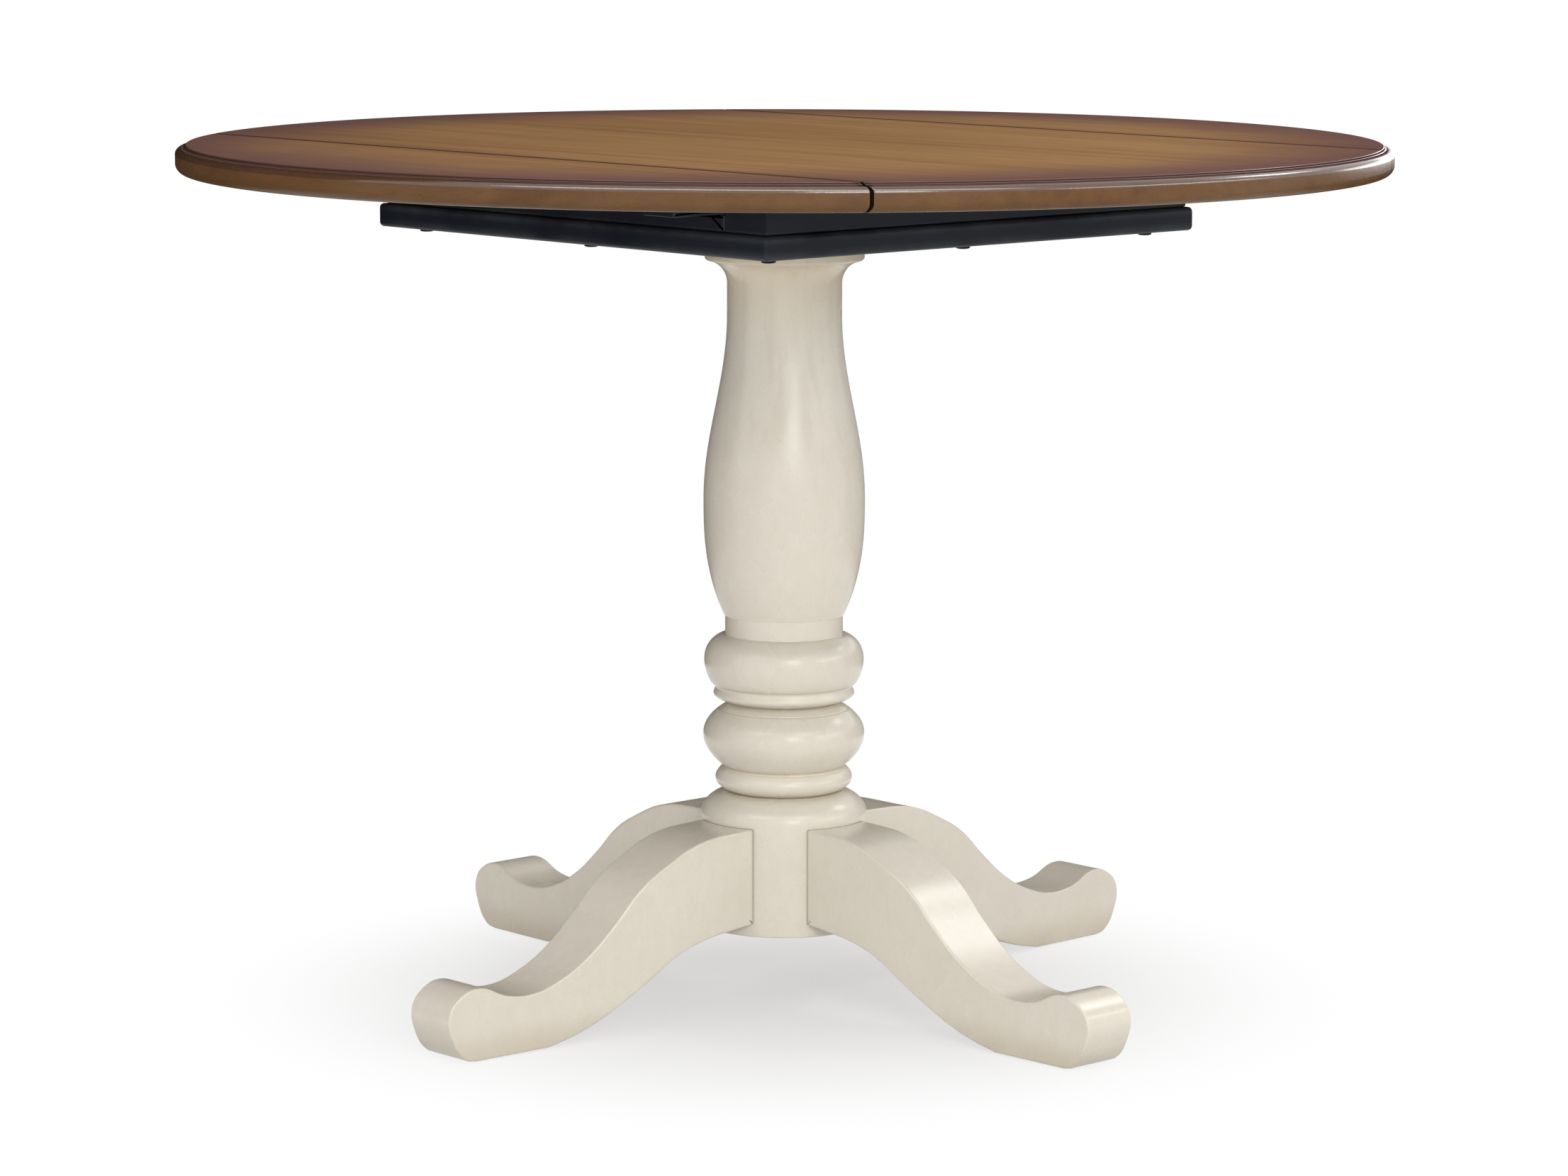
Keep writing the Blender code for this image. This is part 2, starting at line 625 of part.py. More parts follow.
def make_legs():
    """Four scrolled legs, narrower at the toe, each coped to the hub and with a glide under its toe."""
    root_x = HUB_RADIUS - LEG_ROOT_OVERLAP
    points = [(root_x, LEG_ROOT_TOP_Z)]
    points += [(along_leg(share), LEG_ROOT_TOP_Z - drop) for share, drop in HUMP_SHARES_AND_DROPS]
    points += [(along_leg(share), height) for share, height in HOLLOW_SHARES_AND_HEIGHTS]
    points += [(LEG_REACH - setback, height) for setback, height in TOE_SETBACKS_AND_HEIGHTS]
    sole = len(points)
    points += [(SOLE_OUTER_X, GLIDE_PROUD), (SOLE_INNER_X, GLIDE_PROUD)]
    points += [(along_leg(share), height) for share, height in INSTEP_SHARES_AND_HEIGHTS]
    points += [(along_leg(share), LEG_ROOT_LOW_Z - drop) for share, drop in UNDER_SHARES_AND_DROPS]
    points.append((root_x, LEG_ROOT_LOW_Z))
    corners = (0, sole, sole + 1, len(points) - 1)
    outline = outline_solid("leg", points, corners, LEG_ROOT_WIDTH, CURVE_RESOLUTION)
    taper = (LEG_TOE_WIDTH / LEG_ROOT_WIDTH - 1) / (LEG_REACH - HUB_RADIUS)
    for vertex in outline.vertices:
        vertex.co.y *= 1 + taper * (vertex.co.x - HUB_RADIUS)
    hub_radius = HUB_RADIUS + SEAT_GAP
    hub = turned("hub_cope", peg(hub_radius, TABLE_HEIGHT, TABLE_HEIGHT), COLUMN_STEPS)
    hub_cutter = add_cutter("hub_cope", hub)
    glide = turned("glide", glide_profile(), GLIDE_STEPS)
    recess = turned("glide_recess", glide_profile(SEAT_GAP), GLIDE_STEPS)
    legs = []
    for place, angle in LEGS.items():
        spin = Matrix.Rotation(math.radians(angle), 4, "Z")
        under_toe = spin @ Matrix.Translation((GLIDE_X, 0, 0))
        leg = add_part("leg_" + place, copies("leg_" + place, outline, [spin]), CREAM)
        add_part("foot_glide_" + place, copies("foot_glide_" + place, glide, [under_toe]), NYLON)
        hole = add_cutter("glide_recess_" + place, copies("glide_recess_" + place, recess, [under_toe]))
        combine(leg, [hub_cutter, hole])
        legs.append(leg)
    return legs


def glide_profile(grow=0.0):
    """A foot glide with its nail; the recess for it is larger and open below."""
    disc = GLIDE_RADIUS + grow
    low = -DRILL_OVERRUN if grow else 0.0
    edge = 0.0 if grow else GLIDE_EDGE_ROUND
    nail_top = GLIDE_HEIGHT + GLIDE_NAIL_LENGTH + grow
    nail = GLIDE_NAIL_RADIUS + grow
    top = GLIDE_HEIGHT + grow
    profile = [(0, nail_top), (nail, nail_top), (nail, top), (disc, top)]
    return profile + [(disc, low + edge), (disc - edge, low), (0, low)]


def make_board_bolts(top, rails, board):
    """Bolts up through the base board and the rails into the centre panel."""
    grid = (-RAIL_MIDDLE, 0.0, RAIL_MIDDLE)
    places = [upward(x, y, BOARD_LOW_Z - SEAT_GAP) for x in grid for y in grid if (x, y) != (0.0, 0.0)]
    length = UNDERSIDE_Z - BOARD_LOW_Z + BOARD_BOLT_GRIP
    names = [f"board_bolt_{i + 1}" for i in range(len(places))]
    profile = bolt(BOARD_BOLT_HEAD_RADIUS, BOARD_BOLT_HEAD_HEIGHT, BOARD_BOLT_RADIUS, length)
    hole = peg(BOARD_BOLT_RADIUS + SEAT_GAP, length + SEAT_GAP, DRILL_OVERRUN)
    drills = fasteners(names, profile, hole, places)
    for piece in (top["panel"], board, *rails):
        combine(piece, [drills])


def make_column_screws(board, column):
    """Countersunk screws down through the base board into the column."""
    angles = [math.pi / 4 + math.pi / 2 * i for i in range(4)]
    circle = [(COLUMN_SCREW_CIRCLE * math.cos(a), COLUMN_SCREW_CIRCLE * math.sin(a)) for a in angles]
    places = [downward(x, y, BOARD_TOP_Z) for x, y in circle]
    length = BOARD_THICKNESS + COLUMN_SCREW_GRIP
    names = [f"column_screw_{i + 1}" for i in range(len(places))]
    head = COLUMN_SCREW_HEAD_RADIUS
    shank = COLUMN_SCREW_RADIUS
    profile = [(0, length), (shank, length), (shank, COLUMN_SCREW_HEAD_HEIGHT), (head, 0), (0, 0)]
    head += SEAT_GAP
    shank += SEAT_GAP
    tip = length + SEAT_GAP
    hole = [(0, tip), (shank, tip), (shank, COLUMN_SCREW_HEAD_HEIGHT), (head, 0)]
    hole += [(head, -DRILL_OVERRUN), (0, -DRILL_OVERRUN)]
    drills = fasteners(names, profile, hole, places)
    for piece in (board, column):
        combine(piece, [drills])


def make_leg_bolts(column, legs):
    """Two bolts from the hollow hub out into each leg."""
    seat = math.sqrt(CAVITY_RADIUS ** 2 - LEG_BOLT_HEAD_RADIUS ** 2) - SEAT_GAP
    heights = {"low": LEG_ROOT_LOW_Z + LEG_BOLT_MARGIN, "high": LEG_ROOT_TOP_Z - LEG_BOLT_MARGIN}
    places = [outward(angle, seat, z) for angle in LEGS.values() for z in heights.values()]
    names = [f"leg_bolt_{leg}_{height}" for leg in LEGS for height in heights]
    length = HUB_RADIUS - seat + LEG_BOLT_GRIP
    profile = bolt(LEG_BOLT_HEAD_RADIUS, LEG_BOLT_HEAD_HEIGHT, LEG_BOLT_RADIUS, length)
    hole = peg(LEG_BOLT_RADIUS + SEAT_GAP, length + SEAT_GAP, DRILL_OVERRUN)
    drills = fasteners(names, profile, hole, places)
    for piece in (column, *legs):
        combine(piece, [drills])


remove_everything()
PARTS = new_collection("drop_leaf_table")
CUTTERS = new_collection("drop_leaf_table_cutters")
WOOD = finish("brown_wood", (0.16, 0.062, 0.028), 0.32)
CREAM = finish("cream_paint", (0.66, 0.61, 0.52), 0.45)
BLACK = finish("black_paint", (0.012, 0.013, 0.016), 0.42)
BIRCH = finish("birch", (0.52, 0.37, 0.20), 0.6)
HINGE_METAL = finish("hinge_metal", (0.30, 0.24, 0.15), 0.4, 1.0)
STEEL = finish("zinc_steel", (0.45, 0.45, 0.44), 0.35, 1.0)
NYLON = finish("nylon", (0.40, 0.37, 0.31), 0.5)

leaf_pivots = {}
for side, sign in SIDES.items():
    leaf_pivots[side] = add_pivot(f"leaf_{side}_hinge_line", (sign * HINGE_LINE_X, 0, HINGE_AXIS_Z))
top_pieces = make_top(leaf_pivots)
make_hinges(leaf_pivots, top_pieces)
apron_rails = make_apron()
make_supports()
base_board = make_board()
pedestal = add_part("pedestal_column", turned("pedestal_column", column_profile(), COLUMN_STEPS), CREAM)
table_legs = make_legs()
make_board_bolts(top_pieces, apron_rails, base_board)
make_column_screws(base_board, pedestal)
make_leg_bolts(pedestal, table_legs)
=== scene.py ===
"""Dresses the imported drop-leaf dining table: finer visible shapes, finishes, light and camera."""

import math

import bmesh
import bpy
from mathutils import Matrix, Vector


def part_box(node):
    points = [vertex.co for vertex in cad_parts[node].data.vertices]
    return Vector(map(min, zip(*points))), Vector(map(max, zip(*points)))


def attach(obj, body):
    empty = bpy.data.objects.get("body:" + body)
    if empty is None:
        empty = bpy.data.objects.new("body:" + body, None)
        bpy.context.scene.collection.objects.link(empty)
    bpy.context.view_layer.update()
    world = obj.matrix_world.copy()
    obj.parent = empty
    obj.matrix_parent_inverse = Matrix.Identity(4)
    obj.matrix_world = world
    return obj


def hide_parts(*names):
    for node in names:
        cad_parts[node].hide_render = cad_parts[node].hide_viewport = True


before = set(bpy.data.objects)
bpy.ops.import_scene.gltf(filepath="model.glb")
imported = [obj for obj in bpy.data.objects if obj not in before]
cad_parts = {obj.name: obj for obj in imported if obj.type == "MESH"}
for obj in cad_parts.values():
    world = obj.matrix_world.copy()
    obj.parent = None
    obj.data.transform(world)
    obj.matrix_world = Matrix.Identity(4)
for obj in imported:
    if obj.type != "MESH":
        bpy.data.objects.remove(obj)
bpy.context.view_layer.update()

# The top, in metres
TABLE_HEIGHT = 0.765
TOP_RADIUS = 0.5334
TOP_THICKNESS = 0.024
HINGE_LINE_X = 0.308
LEAF_GAP = 0.0024
SEAM_EASE = 0.0006
SEAM_CORNER = 0.0008
RIM_GROOVES = 0.0031
RIM_OVOLO_DROP = 0.0049
RIM_OVOLO_WIDTH = 0.0053
RIM_UNDER_ROUND = 0.008
RIM_MOULDING_INSET = 0.0098
RIM_ARRIS_INSET = 0.0093
RIM_BEAD_INSETS = (0.0073, 0.0089)
# Painted shade where the rim rounds under
RIM_UNDER_SHADE = 0.15
RIM_ARC_STEPS = 96
OVOLO_STEPS = 10
# Rim profile above the ovolo: inset from the round edge, drop from the top, painted shade in its grooves and
# steps
RIM_STEPS = (
    (0.0097, 0.0, 0.0),
    (0.0095, 0.00008, 0.0),
    (0.0093, 0.0003, 0.0),
    (0.00922, 0.0006, 0.7),
    (0.0092, 0.0019, 1.0),
    (0.0089, 0.0016, 0.5),
    (0.0083, 0.0014, 0.0),
    (0.0077, 0.0015, 0.0),
    (0.0073, 0.0018, 0.3),
    (0.0071, 0.0027, 1.0),
    (0.0067, 0.0026, 0.4),
    (0.0060, 0.0026, 0.0),
    (0.0056, 0.0027, 0.0),
    (0.0054, 0.0029, 0.4),
)

# The turned column, from the top down
COLUMN_TOP_Z = 0.6883
FLANGE_HEIGHT = 0.0276
FLANGE_RADIUS = 0.0707
FLANGE_TOP_EASE = 0.0015
FLANGE_LOW_EASE = 0.003
FLANGE_LOW_TURN = -75
COVE_HEIGHT = 0.0204
NECK_HEIGHT = 0.0274
NECK_RADIUS = 0.0509
BELLY_HEIGHT = 0.1033
BELLY_RADIUS = 0.0718
VASE_FOOT_RADIUS = 0.0534
VASE_FOOT_POWER = 2.62
COLLAR_HEIGHT = 0.0175
COLLAR_RADIUS = 0.0525
COLLAR_FLARE = 0.0012
COLLAR_FLARE_TURN = 250
# Turned rings from the top down: height, radius in the groove below, largest radius, fullness
RINGS = (
    (0.0451, 0.0624, 0.0712, 1.24),
    (0.0159, 0.0471, 0.0629, 2.6),
    (0.0574, 0.0536, 0.0721, 1.81),
    (0.0223, 0.0490, 0.0613, 1.82),
)
SHOULDER_HEIGHT = 0.0215
SHOULDER_POWER = 1.2
HUB_TOP_Z = 0.1648
HUB_BOTTOM_Z = 0.065
HUB_RADIUS = 0.0744
HUB_EASE = 0.0012
CAVITY_RADIUS = 0.0484
CAVITY_TOP_Z = 0.1513
COLUMN_TURN_STEPS = 112
COLUMN_STEP = 0.002
TURN_STEPS = 24
# Fine turned creases: height and radius of the place, depth
CREASES = (
    (0.3270, 0.0534, 0.0004),
    (0.2599, 0.0580, 0.0006),
    (0.2068, 0.0563, 0.0005),
    (0.1853, 0.0552, 0.0006),
)
CREASE_WIDTH = 0.0007
CREASE_STEP = 0.00025
CREASE_GLAZE = 0.8
GROOVE_GLAZE_REACH = 0.0016
JOINT_GLAZE_REACH = 0.0036

# The legs: across the outline, shares of the way from the hub to the toe's tip or distances from that tip;
# up it, drops from the root's edges or heights above the floor
LEG_ROOT_WIDTH = 0.068
LEG_TOE_WIDTH = 0.0525
LEG_REACH = 0.406
LEG_ROOT_TOP_Z = 0.1622
LEG_ROOT_LOW_Z = 0.0767
LEG_COPE_REACH = 0.03
LEG_EASE = 0.0018
LEG_STATIONS = 8
SEAT_GAP = 0.0003
HUMP_SHARES_AND_DROPS = ((0.1586, 0.0044), (0.2762, 0.0196), (0.3637, 0.0363), (0.4512, 0.063))
HOLLOW_SHARES_AND_HEIGHTS = ((0.5476, 0.0738), (0.6336, 0.0592), (0.7226, 0.0512), (0.807, 0.053))
TOE_SETBACKS_AND_HEIGHTS = (
    (0.0315, 0.0645),
    (0.0125, 0.0595),
    (0.0, 0.045),
    (0.0025, 0.024),
    (0.0165, 0.0045),
)
SOLE_HEIGHT = 0.0015
SOLE_OUTER_X = 0.378
SOLE_INNER_X = 0.298
INSTEP_SHARES_AND_HEIGHTS = ((0.5905, 0.0073), (0.5148, 0.0153), (0.4086, 0.031), (0.3212, 0.0459))
UNDER_SHARES_AND_DROPS = ((0.2491, 0.0177), (0.1677, 0.0084), (0.0621, 0.0026))
CURVE_STEPS = 8

# The frame under the top
BOARD_EASE = 0.004
RAIL_EASE = 0.0012
SUPPORT_EASE = 0.001
SUPPORT_RUN_GAP = 0.0005
TIP_BEVEL_LENGTH = 0.010
TIP_BEVEL_DROP = 0.006
EASE_STEPS = 4
EASE_MARGIN = 2.5

# Hinges and fittings
HINGE_AXIS_Z = 0.7375
HINGE_LENGTH = 0.050
HINGE_PLATE_WIDTH = 0.030
HINGE_PLATE_THICKNESS = 0.002
HINGE_PLATE_CORNER = 0.004
KNUCKLE_COUNT = 3
KNUCKLE_RADIUS = 0.0032
KNUCKLE_GAP = 0.0005
HINGE_PIN_RADIUS = 0.0015
HINGE_SCREW_REACH = 0.018
HINGE_SCREW_SPREAD = 0.030
HINGE_SCREW_HEAD_RADIUS = 0.0036
HINGE_SCREW_HEAD_PROUD = 0.0009
BOLT_WASHER_HEIGHT = 0.0013
BOLT_HEAD_HEIGHT = 0.0042
BOLT_HEAD_SHARE = 0.92
BOLT_SHANK_RADIUS = 0.003
GLIDE_DISC_HEIGHT = 0.004
GLIDE_NAIL_RADIUS = 0.0015
GLIDE_EDGE = 0.0012
METAL_EASE = 0.0003
BOLT_HEAD_ROUND = 4 * METAL_EASE
DRIVER_RIM_SHARE = 0.4
DRIVER_SHARE = 0.36
DRIVER_FLOOR_SHARE = 0.3
FITTING_STEPS = 32

# Limits of the mesh work
WELD_DISTANCE = 1e-7
POINT_DISTANCE = 1e-5
LEVEL_NORMAL = 0.99
SAWN_NORMAL = 0.9
SMOOTH_ANGLE = 35.0
BOARD_SMOOTH_ANGLE = 40.0

# Where the finishes and the painted shade change, in metres
BURNISH_REACH = 0.21
BURNISH_OVERRUN = 0.01
BURNISH_WANDER = 0.09
SEAM_BURNISH_REACH = 0.045
SEAM_LINE_REACH = 0.007
TOE_DIRT_AND_SHADE_Z = 0.034
DARKEST_TOE_Z = 0.002
BRUSHED_Z = (0.44, 0.60)
AGED_AND_SHADED_NECK_Z = (0.58, 0.67)

# The stage
FLOOR_REACH = 60.0
FLOOR_GREY = 0.70
FLOOR_FADE = (0.10, 0.54)
FLOOR_WHITE_UNDER_TABLE = 0.48
CARD_BLACK = 0.01
LAMP_TARGET = Vector((0, 0, 0.45))

LEGS = {"right": 0, "back": 90, "left": 180, "front": 270}
SIDES = {"left": -1, "right": 1}
ENDS = {"front": -1, "back": 1}

# The photograph's camera
CAMERA_LENS = 118.08
CAMERA_SENSOR = 36.0
CAMERA_CLIP_END = 200.0
CAMERA_PLACE = (-3.0697, -3.3382, 1.0392)
CAMERA_AZIMUTH = math.radians(-42.6)
CAMERA_PITCH = 0.147
CAMERA_ROLL = 0.0018

# Which finish of the top's boards a face takes
TOP_FACE, MOULDING, RIM, SAWN = range(4)


def add_object(name, mesh, material, body, slot, *nodes):
    """A finished piece that rides on a body, takes the given finish and stands for CAD nodes; its slot is not
    used.
    """
    mesh.name = name
    item = bpy.data.objects.new(name, mesh)
    bpy.context.scene.collection.objects.link(item)
    materials = material if isinstance(material, (list, tuple)) else [material]
    for entry in materials:
        mesh.materials.append(entry)
    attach(item, body)
    if nodes:
        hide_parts(*nodes)
    return item


def mesh_from(points, faces, glaze_and_painted_shade=None, edge=None, sharp=SMOOTH_ANGLE):
    """A welded, outward-facing mesh with the glaze and painted shade values and the edge values that the
    finishes read.
    """
    mesh = bpy.data.meshes.new("piece")
    mesh.from_pydata(points, [], faces)
    for label, values in (("glaze_and_painted_shade", glaze_and_painted_shade), ("edge", edge)):
        layer = mesh.attributes.new(label, "FLOAT", "POINT")
        layer.data.foreach_set("value", values or [0.0] * len(points))
    weld = bmesh.new()
    weld.from_mesh(mesh)
    bmesh.ops.remove_doubles(weld, verts=weld.verts, dist=WELD_DISTANCE)
    bmesh.ops.dissolve_degenerate(weld, edges=weld.edges, dist=WELD_DISTANCE)
    bmesh.ops.recalc_face_normals(weld, faces=weld.faces)
    weld.to_mesh(mesh)
    weld.free()
    mesh.shade_smooth()
    mesh.set_sharp_from_angle(angle=math.radians(sharp))
    return mesh


def ring_faces(rings, size, closed=True):
    """Quads between successive rings of equal size, numbered one ring after another."""
    faces = []
    last = size if closed else size - 1
    for ring in range(rings - 1):
        first = ring * size
        for i in range(last):
            j = (i + 1) % size
            faces.append((first + i, first + j, first + size + j, first + size + i))
    return faces


def turned(profile, steps, glaze_and_painted_shade=None):
    """A closed solid of revolution about Z; the profile starts and ends on the axis."""
    points = []
    values = []
    for index, (radius, z) in enumerate(profile):
        for i in range(steps):
            angle = math.tau * i / steps
            points.append((radius * math.cos(angle), radius * math.sin(angle), z))
            values.append(glaze_and_painted_shade[index] if glaze_and_painted_shade else 0.0)
    return mesh_from(points, ring_faces(len(profile), steps), values)


def arc(centre, radii, start, end, steps):
    """Points of an elliptical arc, angles in degrees."""
    points = []
    for i in range(steps + 1):
        angle = math.radians(start + (end - start) * i / steps)
        points.append((centre[0] + radii[0] * math.cos(angle), centre[1] + radii[1] * math.sin(angle)))
    return points


def rim_profile():
    """(inset, drop, painted shade) from the top's flat down the moulded rim to the underside."""
    profile = list(RIM_STEPS)
    profile.append((RIM_OVOLO_WIDTH, RIM_GROOVES, 1.0))
    for i in range(1, OVOLO_STEPS + 1):
        angle = math.pi / 2 * i / OVOLO_STEPS
        inset = RIM_OVOLO_WIDTH * (1 - math.sin(angle))
        drop = RIM_GROOVES + RIM_OVOLO_DROP * (1 - math.cos(angle))
        profile.append((inset, drop, 0.0))
    face_low = TOP_THICKNESS - RIM_UNDER_ROUND
    profile.append((0.0, (profile[-1][1] + face_low) / 2, 0.0))
    # Darker as the round turns under towards the underside: painted shade
    for i in range(OVOLO_STEPS + 1):
        angle = math.pi / 2 * i / OVOLO_STEPS
        inset = RIM_UNDER_ROUND * (1 - math.cos(angle))
        drop = face_low + RIM_UNDER_ROUND * math.sin(angle)
        profile.append((inset, drop, RIM_UNDER_SHADE * i / OVOLO_STEPS))
    return profile


def seam_inset(drop):
    """How far the sawn edge stands back at this depth, where its two arrises are eased."""
    depth = min(drop, TOP_THICKNESS - drop)
    if depth >= SEAM_EASE:
        return 0.0
    return SEAM_EASE - math.sqrt(SEAM_EASE ** 2 - (SEAM_EASE - depth) ** 2)


def eased_corner(before, corner, after, reach):
    """A short curve in place of a corner between two neighbours."""
    start = corner + (before - corner).normalized() * reach
    end = corner + (after - corner).normalized() * reach
    points = []
    for i in range(EASE_STEPS + 1):
        t = i / EASE_STEPS
        points.append(start * (1 - t) ** 2 + corner * (2 * t * (1 - t)) + end * t ** 2)
    return points


def slab_ring(low_x, high_x, radius):
    """The anticlockwise outline of a disc between two lines across X, one of which may lie beyond it."""
    lines = [x for x in (high_x, low_x) if abs(x) < radius]
    if len(lines) == 2:
        spans = [(math.acos(high_x / radius), math.acos(low_x / radius))]
        spans.append((math.tau - spans[0][1], math.tau - spans[0][0]))
    elif high_x >= radius:
        spans = [(-math.acos(low_x / radius), math.acos(low_x / radius))]
    else:
        spans = [(math.acos(high_x / radius), math.tau - math.acos(high_x / radius))]
    arcs = []
    for start, end in spans:
        angles = [start + (end - start) * i / RIM_ARC_STEPS for i in range(RIM_ARC_STEPS + 1)]
        arcs.append([Vector((radius * math.cos(a), radius * math.sin(a))) for a in angles])
    ring = []
    for index, points in enumerate(arcs):
        before = arcs[index - 1][-1]
        after = arcs[(index + 1) % len(arcs)][0]
        ring += eased_corner(before, points[0], points[1], SEAM_CORNER)
        ring += points[1:-1]
        ring += eased_corner(points[-2], points[-1], after, SEAM_CORNER)
    return ring


def top_board(low_x, high_x):
    """One board of the round top, with its moulded rim and eased sawn edges."""
    points = []
    glaze_and_painted_shade = []
    size = 0
    profile = rim_profile()
    far = 2 * TOP_RADIUS
    # The third value of each profile row is the rim's painted shade, stored with the glaze values
    for inset, drop, tint in profile:
        back = seam_inset(drop)
        low = low_x + back if low_x > -TOP_RADIUS else -far
        high = high_x - back if high_x < TOP_RADIUS else far
        ring = slab_ring(low, high, TOP_RADIUS - inset)
        size = len(ring)
        points += [(p.x, p.y, TABLE_HEIGHT - drop) for p in ring]
        glaze_and_painted_shade += [tint] * size
    faces = ring_faces(len(profile), size)
    faces.append(tuple(range(size)))
    faces.append(tuple(range((len(profile) - 1) * size, len(profile) * size)))
    mesh = mesh_from(points, faces, glaze_and_painted_shade, sharp=BOARD_SMOOTH_ANGLE)
    flat = TABLE_HEIGHT - POINT_DISTANCE
    moulding_low = TABLE_HEIGHT - RIM_GROOVES - RIM_OVOLO_DROP
    for face in mesh.polygons:
        inset = TOP_RADIUS - math.hypot(face.center.x, face.center.y)
        sawn = min(abs(face.center.x - low_x), abs(face.center.x - high_x)) < SEAM_CORNER
        if face.normal.z > LEVEL_NORMAL and face.center.z > flat:
            face.material_index = TOP_FACE
        elif sawn and abs(face.normal.x) > SAWN_NORMAL:
            face.material_index = SAWN
        elif inset < RIM_MOULDING_INSET and face.center.z > moulding_low:
            bead = RIM_BEAD_INSETS[0] < inset < RIM_BEAD_INSETS[1]
            polished = inset < RIM_OVOLO_WIDTH or bead or inset > RIM_ARRIS_INSET
            face.material_index = MOULDING if polished else TOP_FACE
        else:
            face.material_index = RIM
    return mesh


def along_leg(share):
    """The place along a leg at a share of its way from the hub to the toe's tip."""
    return HUB_RADIUS + share * (LEG_REACH - HUB_RADIUS)


def bezier_outline(points, corners, steps):
    """A closed smooth outline through the points, straight at its corners."""
    curve = bpy.data.curves.new("outline", "CURVE")
    curve.dimensions = "2D"
    curve.fill_mode = "NONE"
    curve.resolution_u = steps
    spline = curve.splines.new("BEZIER")
    spline.bezier_points.add(len(points) - 1)
    spline.use_cyclic_u = True
    for index, (knot, point) in enumerate(zip(spline.bezier_points, points)):
        knot.co = (*point, 0.0)
        kind = "VECTOR" if index in corners else "AUTO"
        knot.handle_left_type = kind
        knot.handle_right_type = kind
    holder = bpy.data.objects.new("outline", curve)
    bpy.context.scene.collection.objects.link(holder)
    bpy.context.view_layer.update()
    graph = bpy.context.evaluated_depsgraph_get()
    line = holder.evaluated_get(graph).to_mesh()
    found = [Vector(v.co[:2]) for v in line.vertices]
    bpy.data.objects.remove(holder)
    bpy.data.curves.remove(curve)
    return [p for i, p in enumerate(found) if (p - found[i - 1]).length > POINT_DISTANCE]


def rectangle(low_x, low_y, high_x, high_y):
    """Its corners, anticlockwise."""
    return [(low_x, low_y), (high_x, low_y), (high_x, high_y), (low_x, high_y)]


def rounded_outline(corners, reach):
    """A straight-sided outline with each corner eased."""
    corners = [Vector(p) for p in corners]
    outline = []
    for i, corner in enumerate(corners):
        outline += eased_corner(corners[i - 1], corner, corners[(i + 1) % len(corners)], reach)
    return outline


def inset_outline(outline, depth):
    """The outline moved inward, for an anticlockwise outline."""
    moved = []
    for i, point in enumerate(outline):
        before = (point - outline[i - 1]).normalized()
        after = (outline[(i + 1) % len(outline)] - point).normalized()
        normals = [Vector((-d.y, d.x)) for d in (before, after)]
        middle = (normals[0] + normals[1]).normalized()
        moved.append(point + middle * (depth / max(middle.dot(normals[0]), 0.5)))
    return moved


def eased_prism(outline, width, ease, bend=None, stations=1):
    """An outline in X and Y extruded along Z about 0, its two rims eased; bend may move points by their Z."""
    area = sum(outline[i - 1].cross(p) for i, p in enumerate(outline))
    if area < 0:
        outline = outline[::-1]
    half = width / 2
    layers = [(EASE_MARGIN * ease, -half, 0.0)]
    for i in range(EASE_STEPS + 1):
        angle = math.pi / 2 * i / EASE_STEPS
        layers.append((ease * (1 - math.sin(angle)), -half + ease * (1 - math.cos(angle)), 1.0))
    body = half - ease
    layers.append((0.0, -half + 2 * ease, 0.0))
    for i in range(1, stations):
        layers.append((0.0, -body + 2 * body * i / stations, 0.0))
    rim = layers[:EASE_STEPS + 3]
    layers += [(inset, -z, edge) for inset, z, edge in reversed(rim)]
    points = []
    edges = []
    size = len(outline)
    for inset, z, edge in layers:
        for p in inset_outline(outline, inset):
            point = Vector((p.x, p.y, z))
            points.append(bend(point) if bend else point)
            edges.append(edge)
    faces = ring_faces(len(layers), size)
    faces.append(tuple(range(size)))
    faces.append(tuple(range((len(layers) - 1) * size, len(layers) * size)))
    return mesh_from(points, faces, None, edges)


def eased_box(low, high, ease):
    """A box with eased edges and corners."""
    outline = rounded_outline(rectangle(low.x, low.y, high.x, high.y), ease)
    mesh = eased_prism(outline, high.z - low.z, ease)
    mesh.transform(Matrix.Translation((0, 0, (low.z + high.z) / 2)))
    return mesh


def leg_mesh():
    """A scrolled leg along +X, narrower at the toe, its root hollowed to fit round the hub."""
    root_x = HUB_RADIUS + SEAT_GAP
    points = [(root_x, LEG_ROOT_TOP_Z)]
    points += [(along_leg(share), LEG_ROOT_TOP_Z - drop) for share, drop in HUMP_SHARES_AND_DROPS]
    points += [(along_leg(share), height) for share, height in HOLLOW_SHARES_AND_HEIGHTS]
    points += [(LEG_REACH - setback, height) for setback, height in TOE_SETBACKS_AND_HEIGHTS]
    sole = len(points)
    points += [(SOLE_OUTER_X, SOLE_HEIGHT), (SOLE_INNER_X, SOLE_HEIGHT)]
    points += [(along_leg(share), height) for share, height in INSTEP_SHARES_AND_HEIGHTS]
    points += [(along_leg(share), LEG_ROOT_LOW_Z - drop) for share, drop in UNDER_SHARES_AND_DROPS]
    points.append((root_x, LEG_ROOT_LOW_Z))
    outline = bezier_outline(points, (0, sole, sole + 1, len(points) - 1), CURVE_STEPS)

    taper = (LEG_TOE_WIDTH / LEG_ROOT_WIDTH - 1) / (LEG_REACH - HUB_RADIUS)

    def taper_and_cope(point):
        across = point.z * (1 + taper * (point.x - HUB_RADIUS))
        share = max(0.0, 1 - (point.x - root_x) / LEG_COPE_REACH)
        fit = root_x - math.sqrt(root_x ** 2 - across ** 2)
        return Vector((point.x - fit * share, point.y, across))

    mesh = eased_prism(outline, LEG_ROOT_WIDTH, LEG_EASE, taper_and_cope, LEG_STATIONS)
    mesh.transform(Matrix.Rotation(math.pi / 2, 4, "X"))
    return mesh


